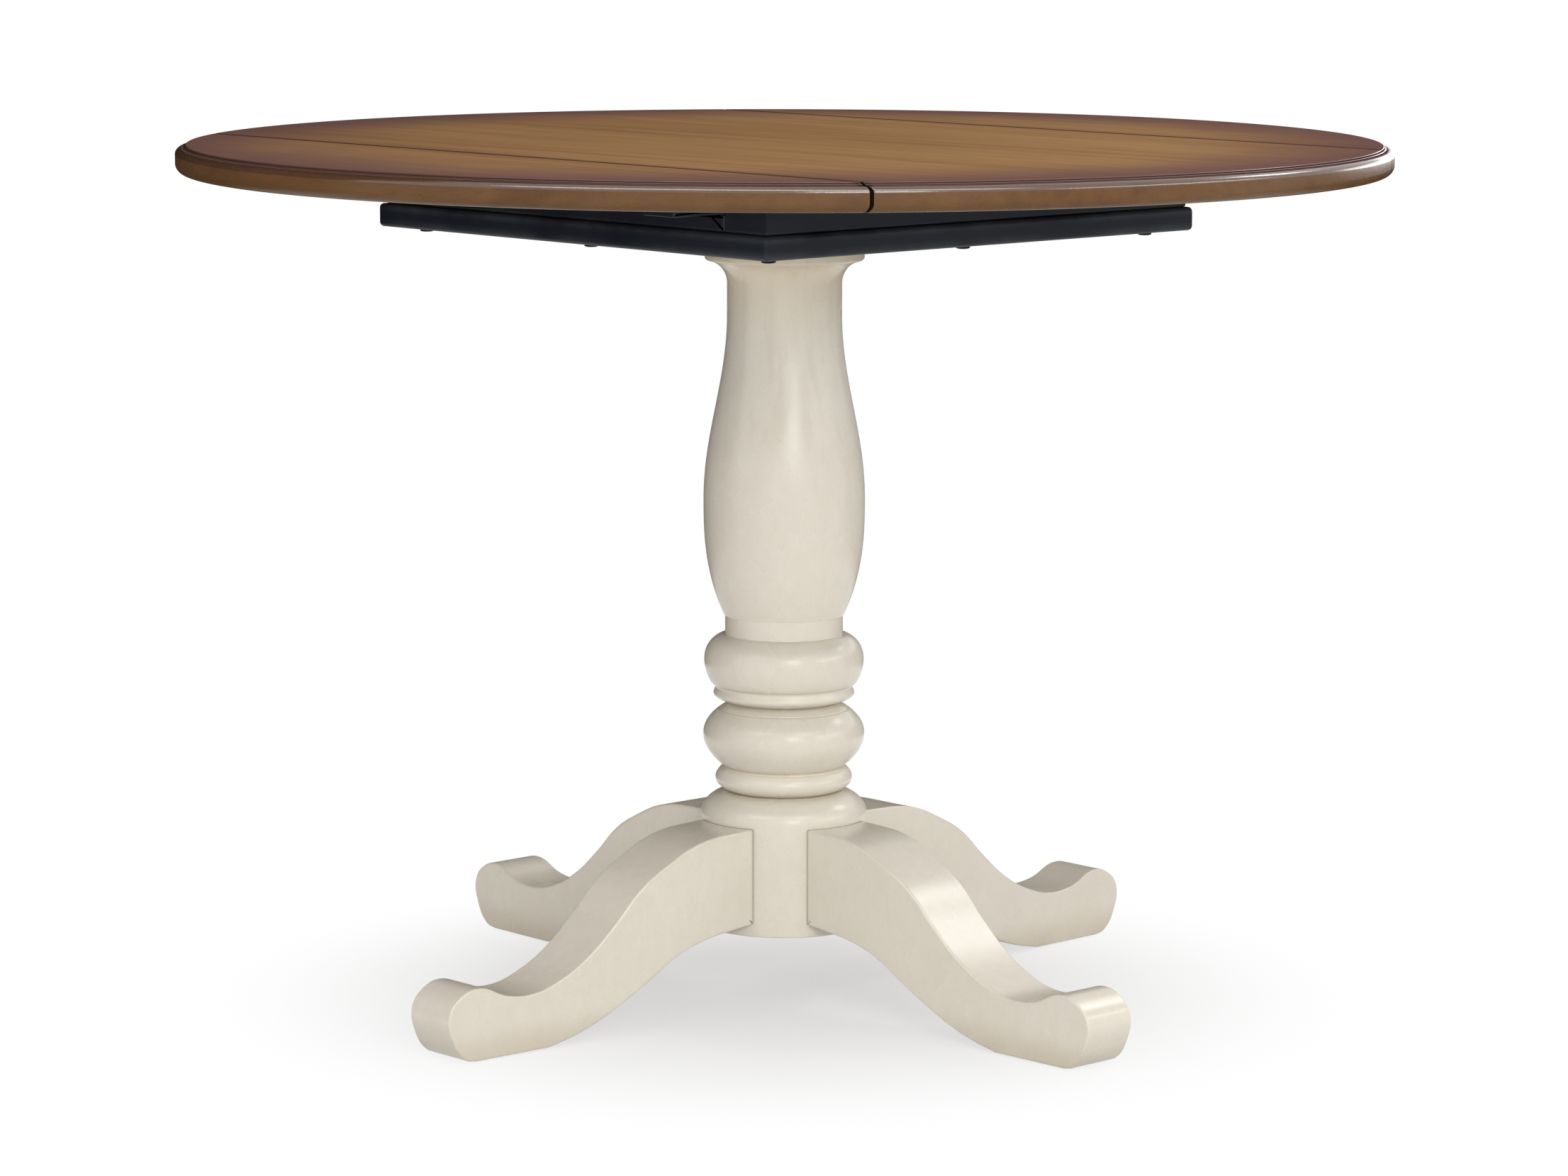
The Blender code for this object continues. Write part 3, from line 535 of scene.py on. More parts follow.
def ring_profile(top_z, top_radius, height, low_radius, radius, power, steps=36):
    """Profile points of a turned ring, from the groove above it to the one below, without its top end."""
    points = []
    for i in range(1, steps + 1):
        angle = math.pi * i / steps
        share = (1 - math.cos(angle)) / 2
        base = top_radius + (low_radius - top_radius) * share
        points.append((base + (radius - base) * math.sin(angle) ** power, top_z - height * share))
    return points


def flange_and_cove():
    """Profile points from the column's top down to its neck."""
    ease = FLANGE_TOP_EASE
    points = [(0, COLUMN_TOP_Z), (FLANGE_RADIUS - ease, COLUMN_TOP_Z)]
    points += arc((FLANGE_RADIUS - ease, COLUMN_TOP_Z - ease), (ease, ease), 90, 0, EASE_STEPS)
    low_z = COLUMN_TOP_Z - FLANGE_HEIGHT
    ease = FLANGE_LOW_EASE
    points += arc((FLANGE_RADIUS - ease, low_z + ease), (ease, ease), 0, FLANGE_LOW_TURN, EASE_STEPS * 2)
    cove_depth = FLANGE_RADIUS - NECK_RADIUS
    first = math.asin(ease / cove_depth)
    for i in range(1, TURN_STEPS + 1):
        angle = first + (math.pi / 2 - first) * i / TURN_STEPS
        drop = COVE_HEIGHT * (1 - math.cos(angle))
        points.append((FLANGE_RADIUS - cove_depth * math.sin(angle), low_z - drop))
    return points


def vase_profile(top_z, foot_z):
    """Profile points of the vase, from the neck over the belly to its foot."""
    belly_z = foot_z + BELLY_HEIGHT
    points = []
    for i in range(TURN_STEPS + 1):
        share = i / TURN_STEPS
        swell = (BELLY_RADIUS - NECK_RADIUS) * (1 - math.cos(math.pi * share)) / 2
        points.append((NECK_RADIUS + swell, top_z + (belly_z - top_z) * share))
    for i in range(1, TURN_STEPS + 1):
        share = i / TURN_STEPS
        fall = (BELLY_RADIUS - VASE_FOOT_RADIUS) * share ** VASE_FOOT_POWER
        points.append((BELLY_RADIUS - fall, belly_z - BELLY_HEIGHT * share))
    return points


def foot_profile(top_z, groove_radius):
    """Profile points of the shoulder from the last groove out to the hollow hub's straight side."""
    points = []
    for i in range(1, TURN_STEPS + 1):
        angle = math.pi / 2 * i / TURN_STEPS
        swell = (HUB_RADIUS - groove_radius) * math.sin(angle) ** SHOULDER_POWER
        points.append((groove_radius + swell, HUB_TOP_Z + (top_z - HUB_TOP_Z) * math.cos(angle)))
    low_edge = (HUB_RADIUS - HUB_EASE, HUB_BOTTOM_Z + HUB_EASE)
    points += arc(low_edge, (HUB_EASE, HUB_EASE), 0, -90, EASE_STEPS)
    return points + [(CAVITY_RADIUS, HUB_BOTTOM_Z), (CAVITY_RADIUS, CAVITY_TOP_Z), (0, CAVITY_TOP_Z)]


def near_crease(radius, z):
    """How close a profile point lies to a turned crease, and that crease's depth."""
    return min((math.hypot(radius - r, z - height), depth) for height, r, depth in CREASES)


def column_mesh():
    """The turned column with its hollow hub; glaze lies in its grooves."""
    profile = flange_and_cove()
    grooves = []
    foot_z = HUB_TOP_Z + SHOULDER_HEIGHT + COLLAR_HEIGHT + sum(row[0] for row in RINGS)
    profile += vase_profile(COLUMN_TOP_Z - FLANGE_HEIGHT - COVE_HEIGHT - NECK_HEIGHT, foot_z)
    z = foot_z - COLLAR_HEIGHT
    profile.append((COLLAR_RADIUS, foot_z))
    flare = (COLLAR_RADIUS + COLLAR_FLARE, z + COLLAR_FLARE)
    profile += arc(flare, (COLLAR_FLARE, COLLAR_FLARE), 180, COLLAR_FLARE_TURN, EASE_STEPS)
    above = profile[-1][0]
    for height, below, radius, power in RINGS:
        profile += ring_profile(z, above, height, below, radius, power)
        z -= height
        above = below
        grooves.append(z)
    profile += foot_profile(z, above)
    fine = [profile[0]]
    for end in profile[1:]:
        start = fine[-1]
        length = math.dist(start, end)
        close = min(near_crease(*start)[0], near_crease(*end)[0]) < 2 * COLUMN_STEP
        count = max(1, math.ceil(length / (CREASE_STEP if close else COLUMN_STEP)))
        fine += [tuple(a + (b - a) * i / count for a, b in zip(start, end)) for i in range(1, count + 1)]
    glaze_and_painted_shade = []
    for index, (radius, z) in enumerate(fine):
        off, depth = near_crease(radius, z)
        dip = math.exp(-(off / CREASE_WIDTH) ** 2)
        fine[index] = (max(radius - depth * dip, 0.0), z)
        pooled = max(math.exp(-abs(z - groove) / GROOVE_GLAZE_REACH) for groove in grooves)
        glaze_and_painted_shade.append(max(pooled, CREASE_GLAZE * dip))
    return turned(fine, COLUMN_TURN_STEPS, glaze_and_painted_shade)


def joined(meshes):
    """One mesh of several closed shells."""
    group = bmesh.new()
    for mesh in meshes:
        group.from_mesh(mesh)
        bpy.data.meshes.remove(mesh)
    result = bpy.data.meshes.new("shells")
    group.to_mesh(result)
    group.free()
    return result


def tube(outer, inner, half, ease):
    """A short tube along Z with eased ends."""
    profile = [(inner, half), (outer - ease, half), (outer, half - ease), (outer, ease - half)]
    profile += [(outer - ease, -half), (inner, -half), (inner, half)]
    points = []
    for radius, z in profile:
        for i in range(FITTING_STEPS):
            angle = math.tau * i / FITTING_STEPS
            points.append((radius * math.cos(angle), radius * math.sin(angle), z))
    return mesh_from(points, ring_faces(len(profile), FITTING_STEPS))


def screw_head(radius, proud):
    """A domed screw head below height 0, with a driver's hollow in its middle."""
    profile = [(0, METAL_EASE), (radius, METAL_EASE), (radius, 0)]
    dome = (radius * (1 - DRIVER_RIM_SHARE), -proud)
    profile += arc((radius * DRIVER_RIM_SHARE, 0), dome, 0, 90, EASE_STEPS)[1:]
    profile += [(radius * DRIVER_SHARE, -proud), (0, -proud * DRIVER_FLOOR_SHARE)]
    return turned(profile, FITTING_STEPS)


def hinge_plate_mesh(sign, owned):
    """A hinge plate with rounded corners, its knuckles and its screw heads, about a pin along Y."""
    inner = KNUCKLE_RADIUS + KNUCKLE_GAP
    half = HINGE_LENGTH / 2
    outline = rounded_outline(rectangle(inner, -half, HINGE_PLATE_WIDTH, half), HINGE_PLATE_CORNER)
    plate = eased_prism(outline, HINGE_PLATE_THICKNESS, METAL_EASE)
    middle_z = KNUCKLE_RADIUS - HINGE_PLATE_THICKNESS / 2
    plate.transform(Matrix.Translation((0, 0, middle_z)))
    shells = [plate]
    pitch = HINGE_LENGTH / KNUCKLE_COUNT
    half_knuckle = (pitch - KNUCKLE_GAP) / 2
    lug_near = HINGE_PIN_RADIUS + 3 * METAL_EASE
    lug_far = inner + HINGE_PLATE_CORNER
    outline = rounded_outline(rectangle(lug_near, -half_knuckle, lug_far, half_knuckle), METAL_EASE)
    for i in range(KNUCKLE_COUNT):
        if (i % 2 == 0) == owned:
            y = (i - (KNUCKLE_COUNT - 1) / 2) * pitch
            barrel = tube(KNUCKLE_RADIUS, HINGE_PIN_RADIUS + METAL_EASE, half_knuckle, METAL_EASE)
            barrel.transform(Matrix.Translation((0, y, 0)) @ Matrix.Rotation(math.pi / 2, 4, "X"))
            lug = eased_prism(outline, HINGE_PLATE_THICKNESS - METAL_EASE, METAL_EASE)
            lug.transform(Matrix.Translation((0, y, middle_z)))
            shells += [barrel, lug]
    for end in ENDS.values():
        head = screw_head(HINGE_SCREW_HEAD_RADIUS, HINGE_SCREW_HEAD_PROUD)
        spot = (HINGE_SCREW_REACH, end * HINGE_SCREW_SPREAD / 2, KNUCKLE_RADIUS - HINGE_PLATE_THICKNESS)
        head.transform(Matrix.Translation(spot))
        shells.append(head)
    mesh = joined(shells)
    if sign < 0:
        mesh.transform(Matrix.Rotation(math.pi, 4, "Z"))
    return mesh


def flat_shaded(item):
    """Keeps broad flat faces flat where they meet eased edges."""
    modifier = item.modifiers.new("flat_faces", "WEIGHTED_NORMAL")
    modifier.keep_sharp = True


class Finish:
    """A node material built step by step round one principled shader."""

    def __init__(self, name, roughness, specular=0.5, metallic=0.0):
        self.material = bpy.data.materials.new(name)
        self.material.use_nodes = True
        self.tree = self.material.node_tree
        self.shader = self.tree.nodes["Principled BSDF"]
        self.shader.inputs["Roughness"].default_value = roughness
        self.shader.inputs["Specular IOR Level"].default_value = specular
        self.shader.inputs["Metallic"].default_value = metallic
        self.place = self.add("ShaderNodeTexCoord").outputs["Object"]

    def add(self, kind, **settings):
        node = self.tree.nodes.new(kind)
        for key, value in settings.items():
            setattr(node, key, value)
        return node

    def feed(self, socket, value):
        if isinstance(value, bpy.types.NodeSocket):
            self.tree.links.new(value, socket)
        else:
            socket.default_value = value

    def math(self, operation, a, b=0.0, c=0.0):
        node = self.add("ShaderNodeMath", operation=operation)
        for socket, value in zip(node.inputs, (a, b, c)):
            self.feed(socket, value)
        return node.outputs[0]

    def stretched(self, scale):
        node = self.add("ShaderNodeMapping")
        self.feed(node.inputs["Vector"], self.place)
        node.inputs["Scale"].default_value = scale
        return node.outputs["Vector"]

    def noise(self, scale, detail=2.0, roughness=0.5, distortion=0.0):
        node = self.add("ShaderNodeTexNoise")
        self.feed(node.inputs["Vector"], self.stretched(scale))
        node.inputs["Scale"].default_value = 1.0
        node.inputs["Detail"].default_value = detail
        node.inputs["Roughness"].default_value = roughness
        node.inputs["Distortion"].default_value = distortion
        return node.outputs["Fac"]

    def remap(self, value, low, high, to_low=0.0, to_high=1.0):
        node = self.add("ShaderNodeMapRange", interpolation_type="SMOOTHSTEP")
        for key, number in zip(("From Min", "From Max", "To Min", "To Max"), (low, high, to_low, to_high)):
            node.inputs[key].default_value = number
        self.feed(node.inputs["Value"], value)
        return node.outputs["Result"]

    def ramp(self, value, *stops):
        node = self.add("ShaderNodeValToRGB")
        elements = node.color_ramp.elements
        while len(elements) < len(stops):
            elements.new(0.5)
        for element, (position, colour) in zip(elements, stops):
            element.position = position
            element.color = (*colour, 1.0)
        self.feed(node.inputs["Fac"], value)
        return node.outputs["Color"]

    def mix(self, share, a, b, mode="MIX"):
        node = self.add("ShaderNodeMix", data_type="RGBA", blend_type=mode)
        self.feed(node.inputs[0], share)
        for socket, value in ((node.inputs[6], a), (node.inputs[7], b)):
            self.feed(socket, (*value, 1.0) if isinstance(value, tuple) else value)
        return node.outputs[2]

    def attribute(self, name):
        return self.add("ShaderNodeAttribute", attribute_name=name).outputs["Fac"]

    def axes(self):
        node = self.add("ShaderNodeSeparateXYZ")
        self.feed(node.inputs[0], self.place)
        return node.outputs

    def radius(self, x, y):
        return self.math("SQRT", self.math("ADD", self.math("MULTIPLY", x, x), self.math("MULTIPLY", y, y)))

    def bump(self, height, strength, distance):
        node = self.add("ShaderNodeBump")
        node.inputs["Strength"].default_value = strength
        node.inputs["Distance"].default_value = distance
        self.feed(node.inputs["Height"], height)
        self.feed(self.shader.inputs["Normal"], node.outputs["Normal"])

    def done(self, colour, roughness):
        self.feed(self.shader.inputs["Base Color"], colour)
        self.feed(self.shader.inputs["Roughness"], roughness)
        return self.material


def wood_finish(name, roughness, specular, tint, rim):
    """Stained wood, its grain along Y, burnished dark towards the rim and the joints, with painted shade in
    the rim's grooves and on the top along the seams.
    """
    f = Finish(name, roughness, specular)
    x, y, _ = f.axes()
    clouds = f.noise((7.0, 1.0, 7.0), 3.0, 0.55, 0.4)
    streaks = f.noise((60.0, 2.0, 60.0), 4.0, 0.6, 0.3)
    fibres = f.noise((420.0, 9.0, 420.0), 3.0, 0.6)
    pores = f.noise((900.0, 42.0, 900.0), 2.0, 0.5)
    tone = f.math("MULTIPLY_ADD", streaks, 0.5, f.math("MULTIPLY", clouds, 0.5))
    colour = f.ramp(
        tone,
        (0.30, (0.252, 0.135, 0.065)),
        (0.50, (0.354, 0.202, 0.096)),
        (0.70, (0.424, 0.256, 0.122)),
    )
    colour = f.mix(f.remap(fibres, 0.5, 0.72, 0.0, 0.22), colour, (0.150, 0.072, 0.036))
    colour = f.mix(f.remap(pores, 0.66, 0.74, 0.0, 0.30), colour, (0.070, 0.030, 0.016))
    colour = f.mix(f.remap(pores, 0.34, 0.26, 0.0, 0.25), colour, (0.450, 0.310, 0.180))
    wander = f.math("MULTIPLY_ADD", f.noise((7.0, 7.0, 7.0), 2.0), BURNISH_WANDER, -BURNISH_WANDER / 2)
    out = f.math("ADD", f.radius(x, y), wander)
    rim_share = f.remap(out, TOP_RADIUS - BURNISH_REACH, TOP_RADIUS + BURNISH_OVERRUN, 0.0, 0.95)
    off_seam = f.math("ABSOLUTE", f.math("SUBTRACT", f.math("ABSOLUTE", x), HINGE_LINE_X))
    seam_share = f.remap(off_seam, SEAM_BURNISH_REACH, 0.0, 0.0, 0.22)
    if rim:
        burnish = f.math("MULTIPLY", seam_share, 0.6)
    else:
        burnish = f.math("MAXIMUM", rim_share, seam_share)
    colour = f.mix(burnish, colour, (0.165, 0.088, 0.084))
    if not rim:
        # A painted shade line on the top face along each seam, darkest at the gap
        line = f.remap(off_seam, SEAM_LINE_REACH, LEAF_GAP, 0.0, 0.85)
        colour = f.mix(line, colour, (0.045, 0.022, 0.018))
    colour = f.mix(1.0, colour, tint, "MULTIPLY")
    # Painted shade: the rim's grooves, steps and under-round darken from their per-vertex values
    colour = f.mix(f.math("MULTIPLY", f.attribute("glaze_and_painted_shade"), 0.9), colour, (0.016, 0.007, 0.007))
    grain = f.math("MULTIPLY_ADD", pores, -0.6, f.math("MULTIPLY", fibres, -0.4))
    f.bump(grain, 0.12, 0.0006)
    satin = f.remap(fibres, 0.3, 0.7, roughness - 0.04, roughness + 0.06)
    return f.done(colour, satin)


def cream_finish(name, jointed):
    """Antique cream paint; a jointed piece is dark along the hub and darker at the toe with dirt and painted
    shade, the column aged and given painted warm shade towards its top.
    """
    f = Finish(name, 0.27, 0.5)
    x, y, z = f.axes()
    cloud = f.noise((14.0, 14.0, 9.0), 3.0, 0.6)
    mottle = f.noise((90.0, 90.0, 55.0), 3.0, 0.6)
    specks = f.noise((420.0, 420.0, 420.0), 1.0, 0.4)
    colour = f.ramp(cloud, (0.25, (0.700, 0.654, 0.568)), (0.75, (0.735, 0.694, 0.614)))
    colour = f.mix(f.remap(mottle, 0.25, 0.80, 0.0, 0.20), colour, (0.600, 0.540, 0.430))
    colour = f.mix(f.remap(specks, 0.50, 0.80, 0.0, 0.12), colour, (0.500, 0.430, 0.330))
    rubbed = f.math("MULTIPLY", f.attribute("glaze_and_painted_shade"), f.remap(cloud, 0.2, 0.8, 0.25, 0.60))
    colour = f.mix(rubbed, colour, (0.500, 0.425, 0.300))
    worn = f.math("MULTIPLY", f.attribute("edge"), f.remap(cloud, 0.45, 0.70, 0.0, 0.50))
    colour = f.mix(worn, colour, (0.620, 0.545, 0.420))
    if jointed:
        # Darker towards the floor: dirt on the toe, and painted shade where it nears the floor
        toe_dirt_and_shade = f.remap(z, TOE_DIRT_AND_SHADE_Z, DARKEST_TOE_Z, 0.0, 0.50)
        toe_dirt_and_shade = f.math("MULTIPLY", toe_dirt_and_shade, f.remap(cloud, 0.2, 0.8, 0.5, 1.0))
        colour = f.mix(toe_dirt_and_shade, colour, (0.400, 0.320, 0.210))
        line = f.remap(f.radius(x, y), HUB_RADIUS + JOINT_GLAZE_REACH, HUB_RADIUS, 0.0, 1.0)
        line = f.math("MULTIPLY", line, f.remap(cloud, 0.25, 0.75, 0.55, 0.95))
        colour = f.mix(line, colour, (0.110, 0.080, 0.046))
    else:
        streaks = f.noise((75.0, 75.0, 3.0), 2.0, 0.5)
        brushed = f.math("MULTIPLY", f.remap(z, *BRUSHED_Z), f.remap(streaks, 0.45, 0.75, 0.0, 0.45))
        colour = f.mix(brushed, colour, (0.560, 0.490, 0.375))
        # Warmer and yellower towards the column's top under the board: partly aged paint, partly painted warm
        # shade
        aged_and_warm_shade = f.remap(z, *AGED_AND_SHADED_NECK_Z, 0.0, 0.70)
        colour = f.mix(aged_and_warm_shade, colour, (0.710, 0.610, 0.440))
    f.bump(mottle, 0.02, 0.0004)
    return f.done(colour, f.remap(cloud, 0.2, 0.8, 0.25, 0.29))


def black_finish(name):
    """Satin black paint with a cool cast, thinner and paler along its edges."""
    f = Finish(name, 0.40, 0.15)
    grain = f.noise((35.0, 35.0, 420.0), 3.0, 0.6)
    cloud = f.noise((11.0, 11.0, 11.0), 3.0, 0.6)
    dust = f.noise((700.0, 700.0, 700.0), 1.0, 0.4)
    colour = f.ramp(cloud, (0.3, (0.0080, 0.0105, 0.0160)), (0.7, (0.0140, 0.0175, 0.0250)))
    colour = f.mix(f.remap(grain, 0.52, 0.75, 0.0, 0.5), colour, (0.006, 0.007, 0.010))
    colour = f.mix(f.remap(dust, 0.72, 0.80, 0.0, 0.25), colour, (0.070, 0.072, 0.078))
    worn = f.math("MULTIPLY", f.attribute("edge"), f.remap(cloud, 0.35, 0.70, 0.1, 0.7))
    colour = f.mix(worn, colour, (0.045, 0.050, 0.058))
    f.bump(f.math("ADD", grain, f.math("MULTIPLY", dust, 0.3)), 0.10, 0.0005)
    return f.done(colour, f.remap(cloud, 0.2, 0.8, 0.34, 0.46))


def birch_finish(name):
    """Pale unfinished hardwood."""
    f = Finish(name, 0.6, 0.3)
    grain = f.noise((6.0, 260.0, 260.0), 4.0, 0.6, 0.3)
    cloud = f.noise((3.0, 20.0, 20.0), 2.0)
    colour = f.ramp(cloud, (0.3, (0.470, 0.330, 0.190)), (0.7, (0.600, 0.450, 0.280)))
    colour = f.mix(f.remap(grain, 0.5, 0.75, 0.0, 0.5), colour, (0.360, 0.235, 0.125))
    f.bump(grain, 0.15, 0.0005)
    return f.done(colour, f.remap(grain, 0.3, 0.7, 0.52, 0.68))


def metal_finish(name, pale, dark, roughness):
    """Plated metal with fine scratches and a dulled cast."""
    f = Finish(name, roughness, 0.5, 1.0)
    scratches = f.noise((900.0, 60.0, 900.0), 3.0, 0.6)
    cloud = f.noise((60.0, 60.0, 60.0), 3.0, 0.6)
    colour = f.ramp(cloud, (0.3, dark), (0.7, pale))
    f.bump(scratches, 0.06, 0.0003)
    return f.done(colour, f.remap(scratches, 0.3, 0.7, roughness - 0.08, roughness + 0.12))


def nylon_finish(name):
    """Moulded grey-white nylon, scuffed."""
    f = Finish(name, 0.5, 0.4)
    cloud = f.noise((120.0, 120.0, 120.0), 3.0, 0.6)
    scuffs = f.noise((400.0, 90.0, 400.0), 2.0, 0.6)
    colour = f.ramp(cloud, (0.3, (0.50, 0.49, 0.46)), (0.7, (0.62, 0.61, 0.58)))
    colour = f.mix(f.remap(scuffs, 0.6, 0.75, 0.0, 0.4), colour, (0.30, 0.29, 0.27))
    f.bump(scuffs, 0.08, 0.0003)
    return f.done(colour, f.remap(cloud, 0.3, 0.7, 0.42, 0.58))


# In the order of TOP_FACE, MOULDING, RIM and SAWN
WOODS = (
    wood_finish("top_wood", 0.50, 0.0, (1.0, 1.0, 1.0), False),
    wood_finish("moulding_wood", 0.15, 1.0, (0.26, 0.22, 0.24), True),
    wood_finish("rim_wood", 0.30, 0.16, (0.36, 0.315, 0.27), True),
    # The sawn edges in the seams are near black: painted shade in the gaps between the boards
    wood_finish("sawn_edge_painted_shade", 0.60, 0.0, (0.04, 0.04, 0.05), True),
)
CREAM = cream_finish("cream_paint", False)
LEG_CREAM = cream_finish("leg_cream_paint", True)
BLACK = black_finish("black_paint")
BIRCH = birch_finish("birch")
HINGE_METAL = metal_finish("hinge_metal", (0.20, 0.15, 0.09), (0.12, 0.085, 0.05), 0.36)
STEEL = metal_finish("zinc_steel", (0.62, 0.62, 0.64), (0.45, 0.45, 0.47), 0.36)
DARK_STEEL = metal_finish("dark_steel", (0.028, 0.028, 0.031), (0.012, 0.012, 0.014), 0.40)
NYLON = nylon_finish("nylon")


def dress_top():
    """The three boards of the top."""
    inner = HINGE_LINE_X - LEAF_GAP / 2
    outer = HINGE_LINE_X + LEAF_GAP / 2
    far = 2 * TOP_RADIUS
    spans = {"center_panel": (-inner, inner), "leaf_left": (-far, -outer), "leaf_right": (outer, far)}
    for node, (low, high) in spans.items():
        body = "table" if node == "center_panel" else node
        add_object(node + "_board", top_board(low, high), WOODS, body, "brown_wood", node)


def dress_base():
    """The turned column and the four scrolled legs."""
    add_object("turned_column", column_mesh(), CREAM, "table", "cream_paint", "pedestal_column")
    leg = leg_mesh()
    for place, angle in LEGS.items():
        mesh = leg.copy()
        mesh.transform(Matrix.Rotation(math.radians(angle), 4, "Z"))
        name = "scrolled_leg_" + place
        flat_shaded(add_object(name, mesh, LEG_CREAM, "table", "cream_paint", "leg_" + place))
    bpy.data.meshes.remove(leg)


def dress_frame():
    """The base board and the apron's rails; the side rails are notched for the leaf supports."""
    board = eased_box(*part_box("base_board"), BOARD_EASE)
    flat_shaded(add_object("mounting_board", board, BLACK, "table", "black_paint", "base_board"))
    for end in ENDS:
        node = "apron_rail_" + end
        rail = eased_box(*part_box(node), RAIL_EASE)
        flat_shaded(add_object(node + "_eased", rail, BLACK, "table", "black_paint", node))
    step_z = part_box("support_runner_front")[1].z
    notch_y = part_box("leaf_support_left_back")[0].y - SUPPORT_RUN_GAP
    for side in SIDES:
        node = "apron_rail_" + side
        low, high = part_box(node)
        outline = [(low.y, low.z), (high.y, low.z), (high.y, step_z), (notch_y, step_z)]
        outline += [(notch_y, high.z), (-notch_y, high.z), (-notch_y, step_z), (low.y, step_z)]
        rail = eased_prism(rounded_outline(outline, RAIL_EASE), high.x - low.x, RAIL_EASE)
        rail.transform(Matrix(((0, 0, 1, (low.x + high.x) / 2), (1, 0, 0, 0), (0, 1, 0, 0), (0, 0, 0, 1))))
        flat_shaded(add_object(node + "_eased", rail, BLACK, "table", "black_paint", node))


def dress_supports():
    """The four sliding bars, bevelled at the tip."""
    for side, sign in SIDES.items():
        for end in ENDS:
            node = f"leaf_support_{side}_{end}"
            low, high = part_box(node)
            length = high.x - low.x
            outline = [(0, low.z), (length, low.z), (length, high.z - TIP_BEVEL_DROP)]
            outline += [(length - TIP_BEVEL_LENGTH, high.z), (0, high.z)]
            bar = eased_prism(rounded_outline(outline, SUPPORT_EASE), high.y - low.y, SUPPORT_EASE)
            tail = low.x if sign > 0 else high.x
            turn = Matrix.Rotation(0 if sign > 0 else math.pi, 4, "Z")
            place = Matrix.Translation((tail, (low.y + high.y) / 2, 0))
            bar.transform(place @ turn @ Matrix.Rotation(math.pi / 2, 4, "X"))
            flat_shaded(add_object(node + "_bar", bar, BLACK, node, "black_paint", node))


def dress_hinges():
    """Both plates and the pin of each hinge."""
    for side, sign in SIDES.items():
        for end in ENDS:
            hinge = f"hinge_{side}_{end}"
            low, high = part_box(hinge + "_pin")
            place = Matrix.Translation((sign * HINGE_LINE_X, (low.y + high.y) / 2, HINGE_AXIS_Z))
            plates = (("panel", -1, True, "table"), ("leaf", 1, False, "leaf_" + side))
            for part, outward, owned, body in plates:
                mesh = hinge_plate_mesh(sign * outward, owned)
                mesh.transform(place)
                node = f"{hinge}_{part}_plate"
                add_object(node + "_fine", mesh, HINGE_METAL, body, "hinge_metal", node)
            half = (high.y - low.y) / 2
            rise = HINGE_PIN_RADIUS / 2
            dome = arc((0, half - rise), (HINGE_PIN_RADIUS, rise), 90, 0, EASE_STEPS)
            pin = turned(dome + [(radius, -z) for radius, z in reversed(dome)], FITTING_STEPS)
            pin.transform(place @ Matrix.Rotation(math.pi / 2, 4, "X"))
            add_object(hinge + "_pin_fine", pin, HINGE_METAL, "table", "hinge_metal", hinge + "_pin")


def dress_bolts():
    """Dark bolts with a washer face and a rounded head under the base board."""
    for name in [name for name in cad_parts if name.startswith("board_bolt")]:
        low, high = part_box(name)
        radius = (high.x - low.x) / 2
        head = radius * BOLT_HEAD_SHARE
        seat = low.z + BOLT_HEAD_HEIGHT
        step = seat - BOLT_WASHER_HEIGHT
        ease = METAL_EASE
        shank = BOLT_SHANK_RADIUS
        crown = low.z + BOLT_HEAD_ROUND
        profile = [(0, high.z), (shank, high.z - shank), (shank, seat), (radius - ease, seat)]
        profile += [(radius, seat - ease), (radius, step + ease), (radius - ease, step), (head, step)]
        profile += arc((head / 2, crown), (head / 2, BOLT_HEAD_ROUND), 0, -90, EASE_STEPS)
        profile += [(head * DRIVER_RIM_SHARE, low.z), (head * DRIVER_SHARE, crown), (0, crown)]
        bolt = turned(profile, FITTING_STEPS)
        bolt.transform(Matrix.Translation(((low.x + high.x) / 2, (low.y + high.y) / 2, 0)))
        add_object(name + "_head", bolt, DARK_STEEL, "table", "zinc_steel", name)


def dress_glides():
    """The nailed glide under each foot."""
    for place in LEGS:
        node = "foot_glide_" + place
        low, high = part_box(node)
        radius = (high.x - low.x) / 2
        top = low.z + GLIDE_DISC_HEIGHT
        nail = GLIDE_NAIL_RADIUS
        edge = GLIDE_EDGE
        profile = [(0, high.z), (nail, high.z - 2 * nail), (nail, top)]
        profile += [(radius - METAL_EASE, top), (radius, top - METAL_EASE)]
        profile += arc((radius - edge, low.z + edge), (edge, edge), 0, -90, EASE_STEPS)
        glide = turned(profile + [(0, low.z)], FITTING_STEPS)
        glide.transform(Matrix.Translation(((low.x + high.x) / 2, (low.y + high.y) / 2, 0)))
        add_object(node + "_disc", glide, NYLON, "table", "nylon", node)


def keep_nodes():
    """The finishes of the CAD nodes that stay as they are."""
    starts = {"support_runner": BIRCH, "leaf_support": BIRCH, "column_screw": STEEL, "leg_bolt": STEEL}
    for name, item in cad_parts.items():
        for start, material in starts.items():
            if name.startswith(start):
                item.data.materials.clear()
                item.data.materials.append(material)


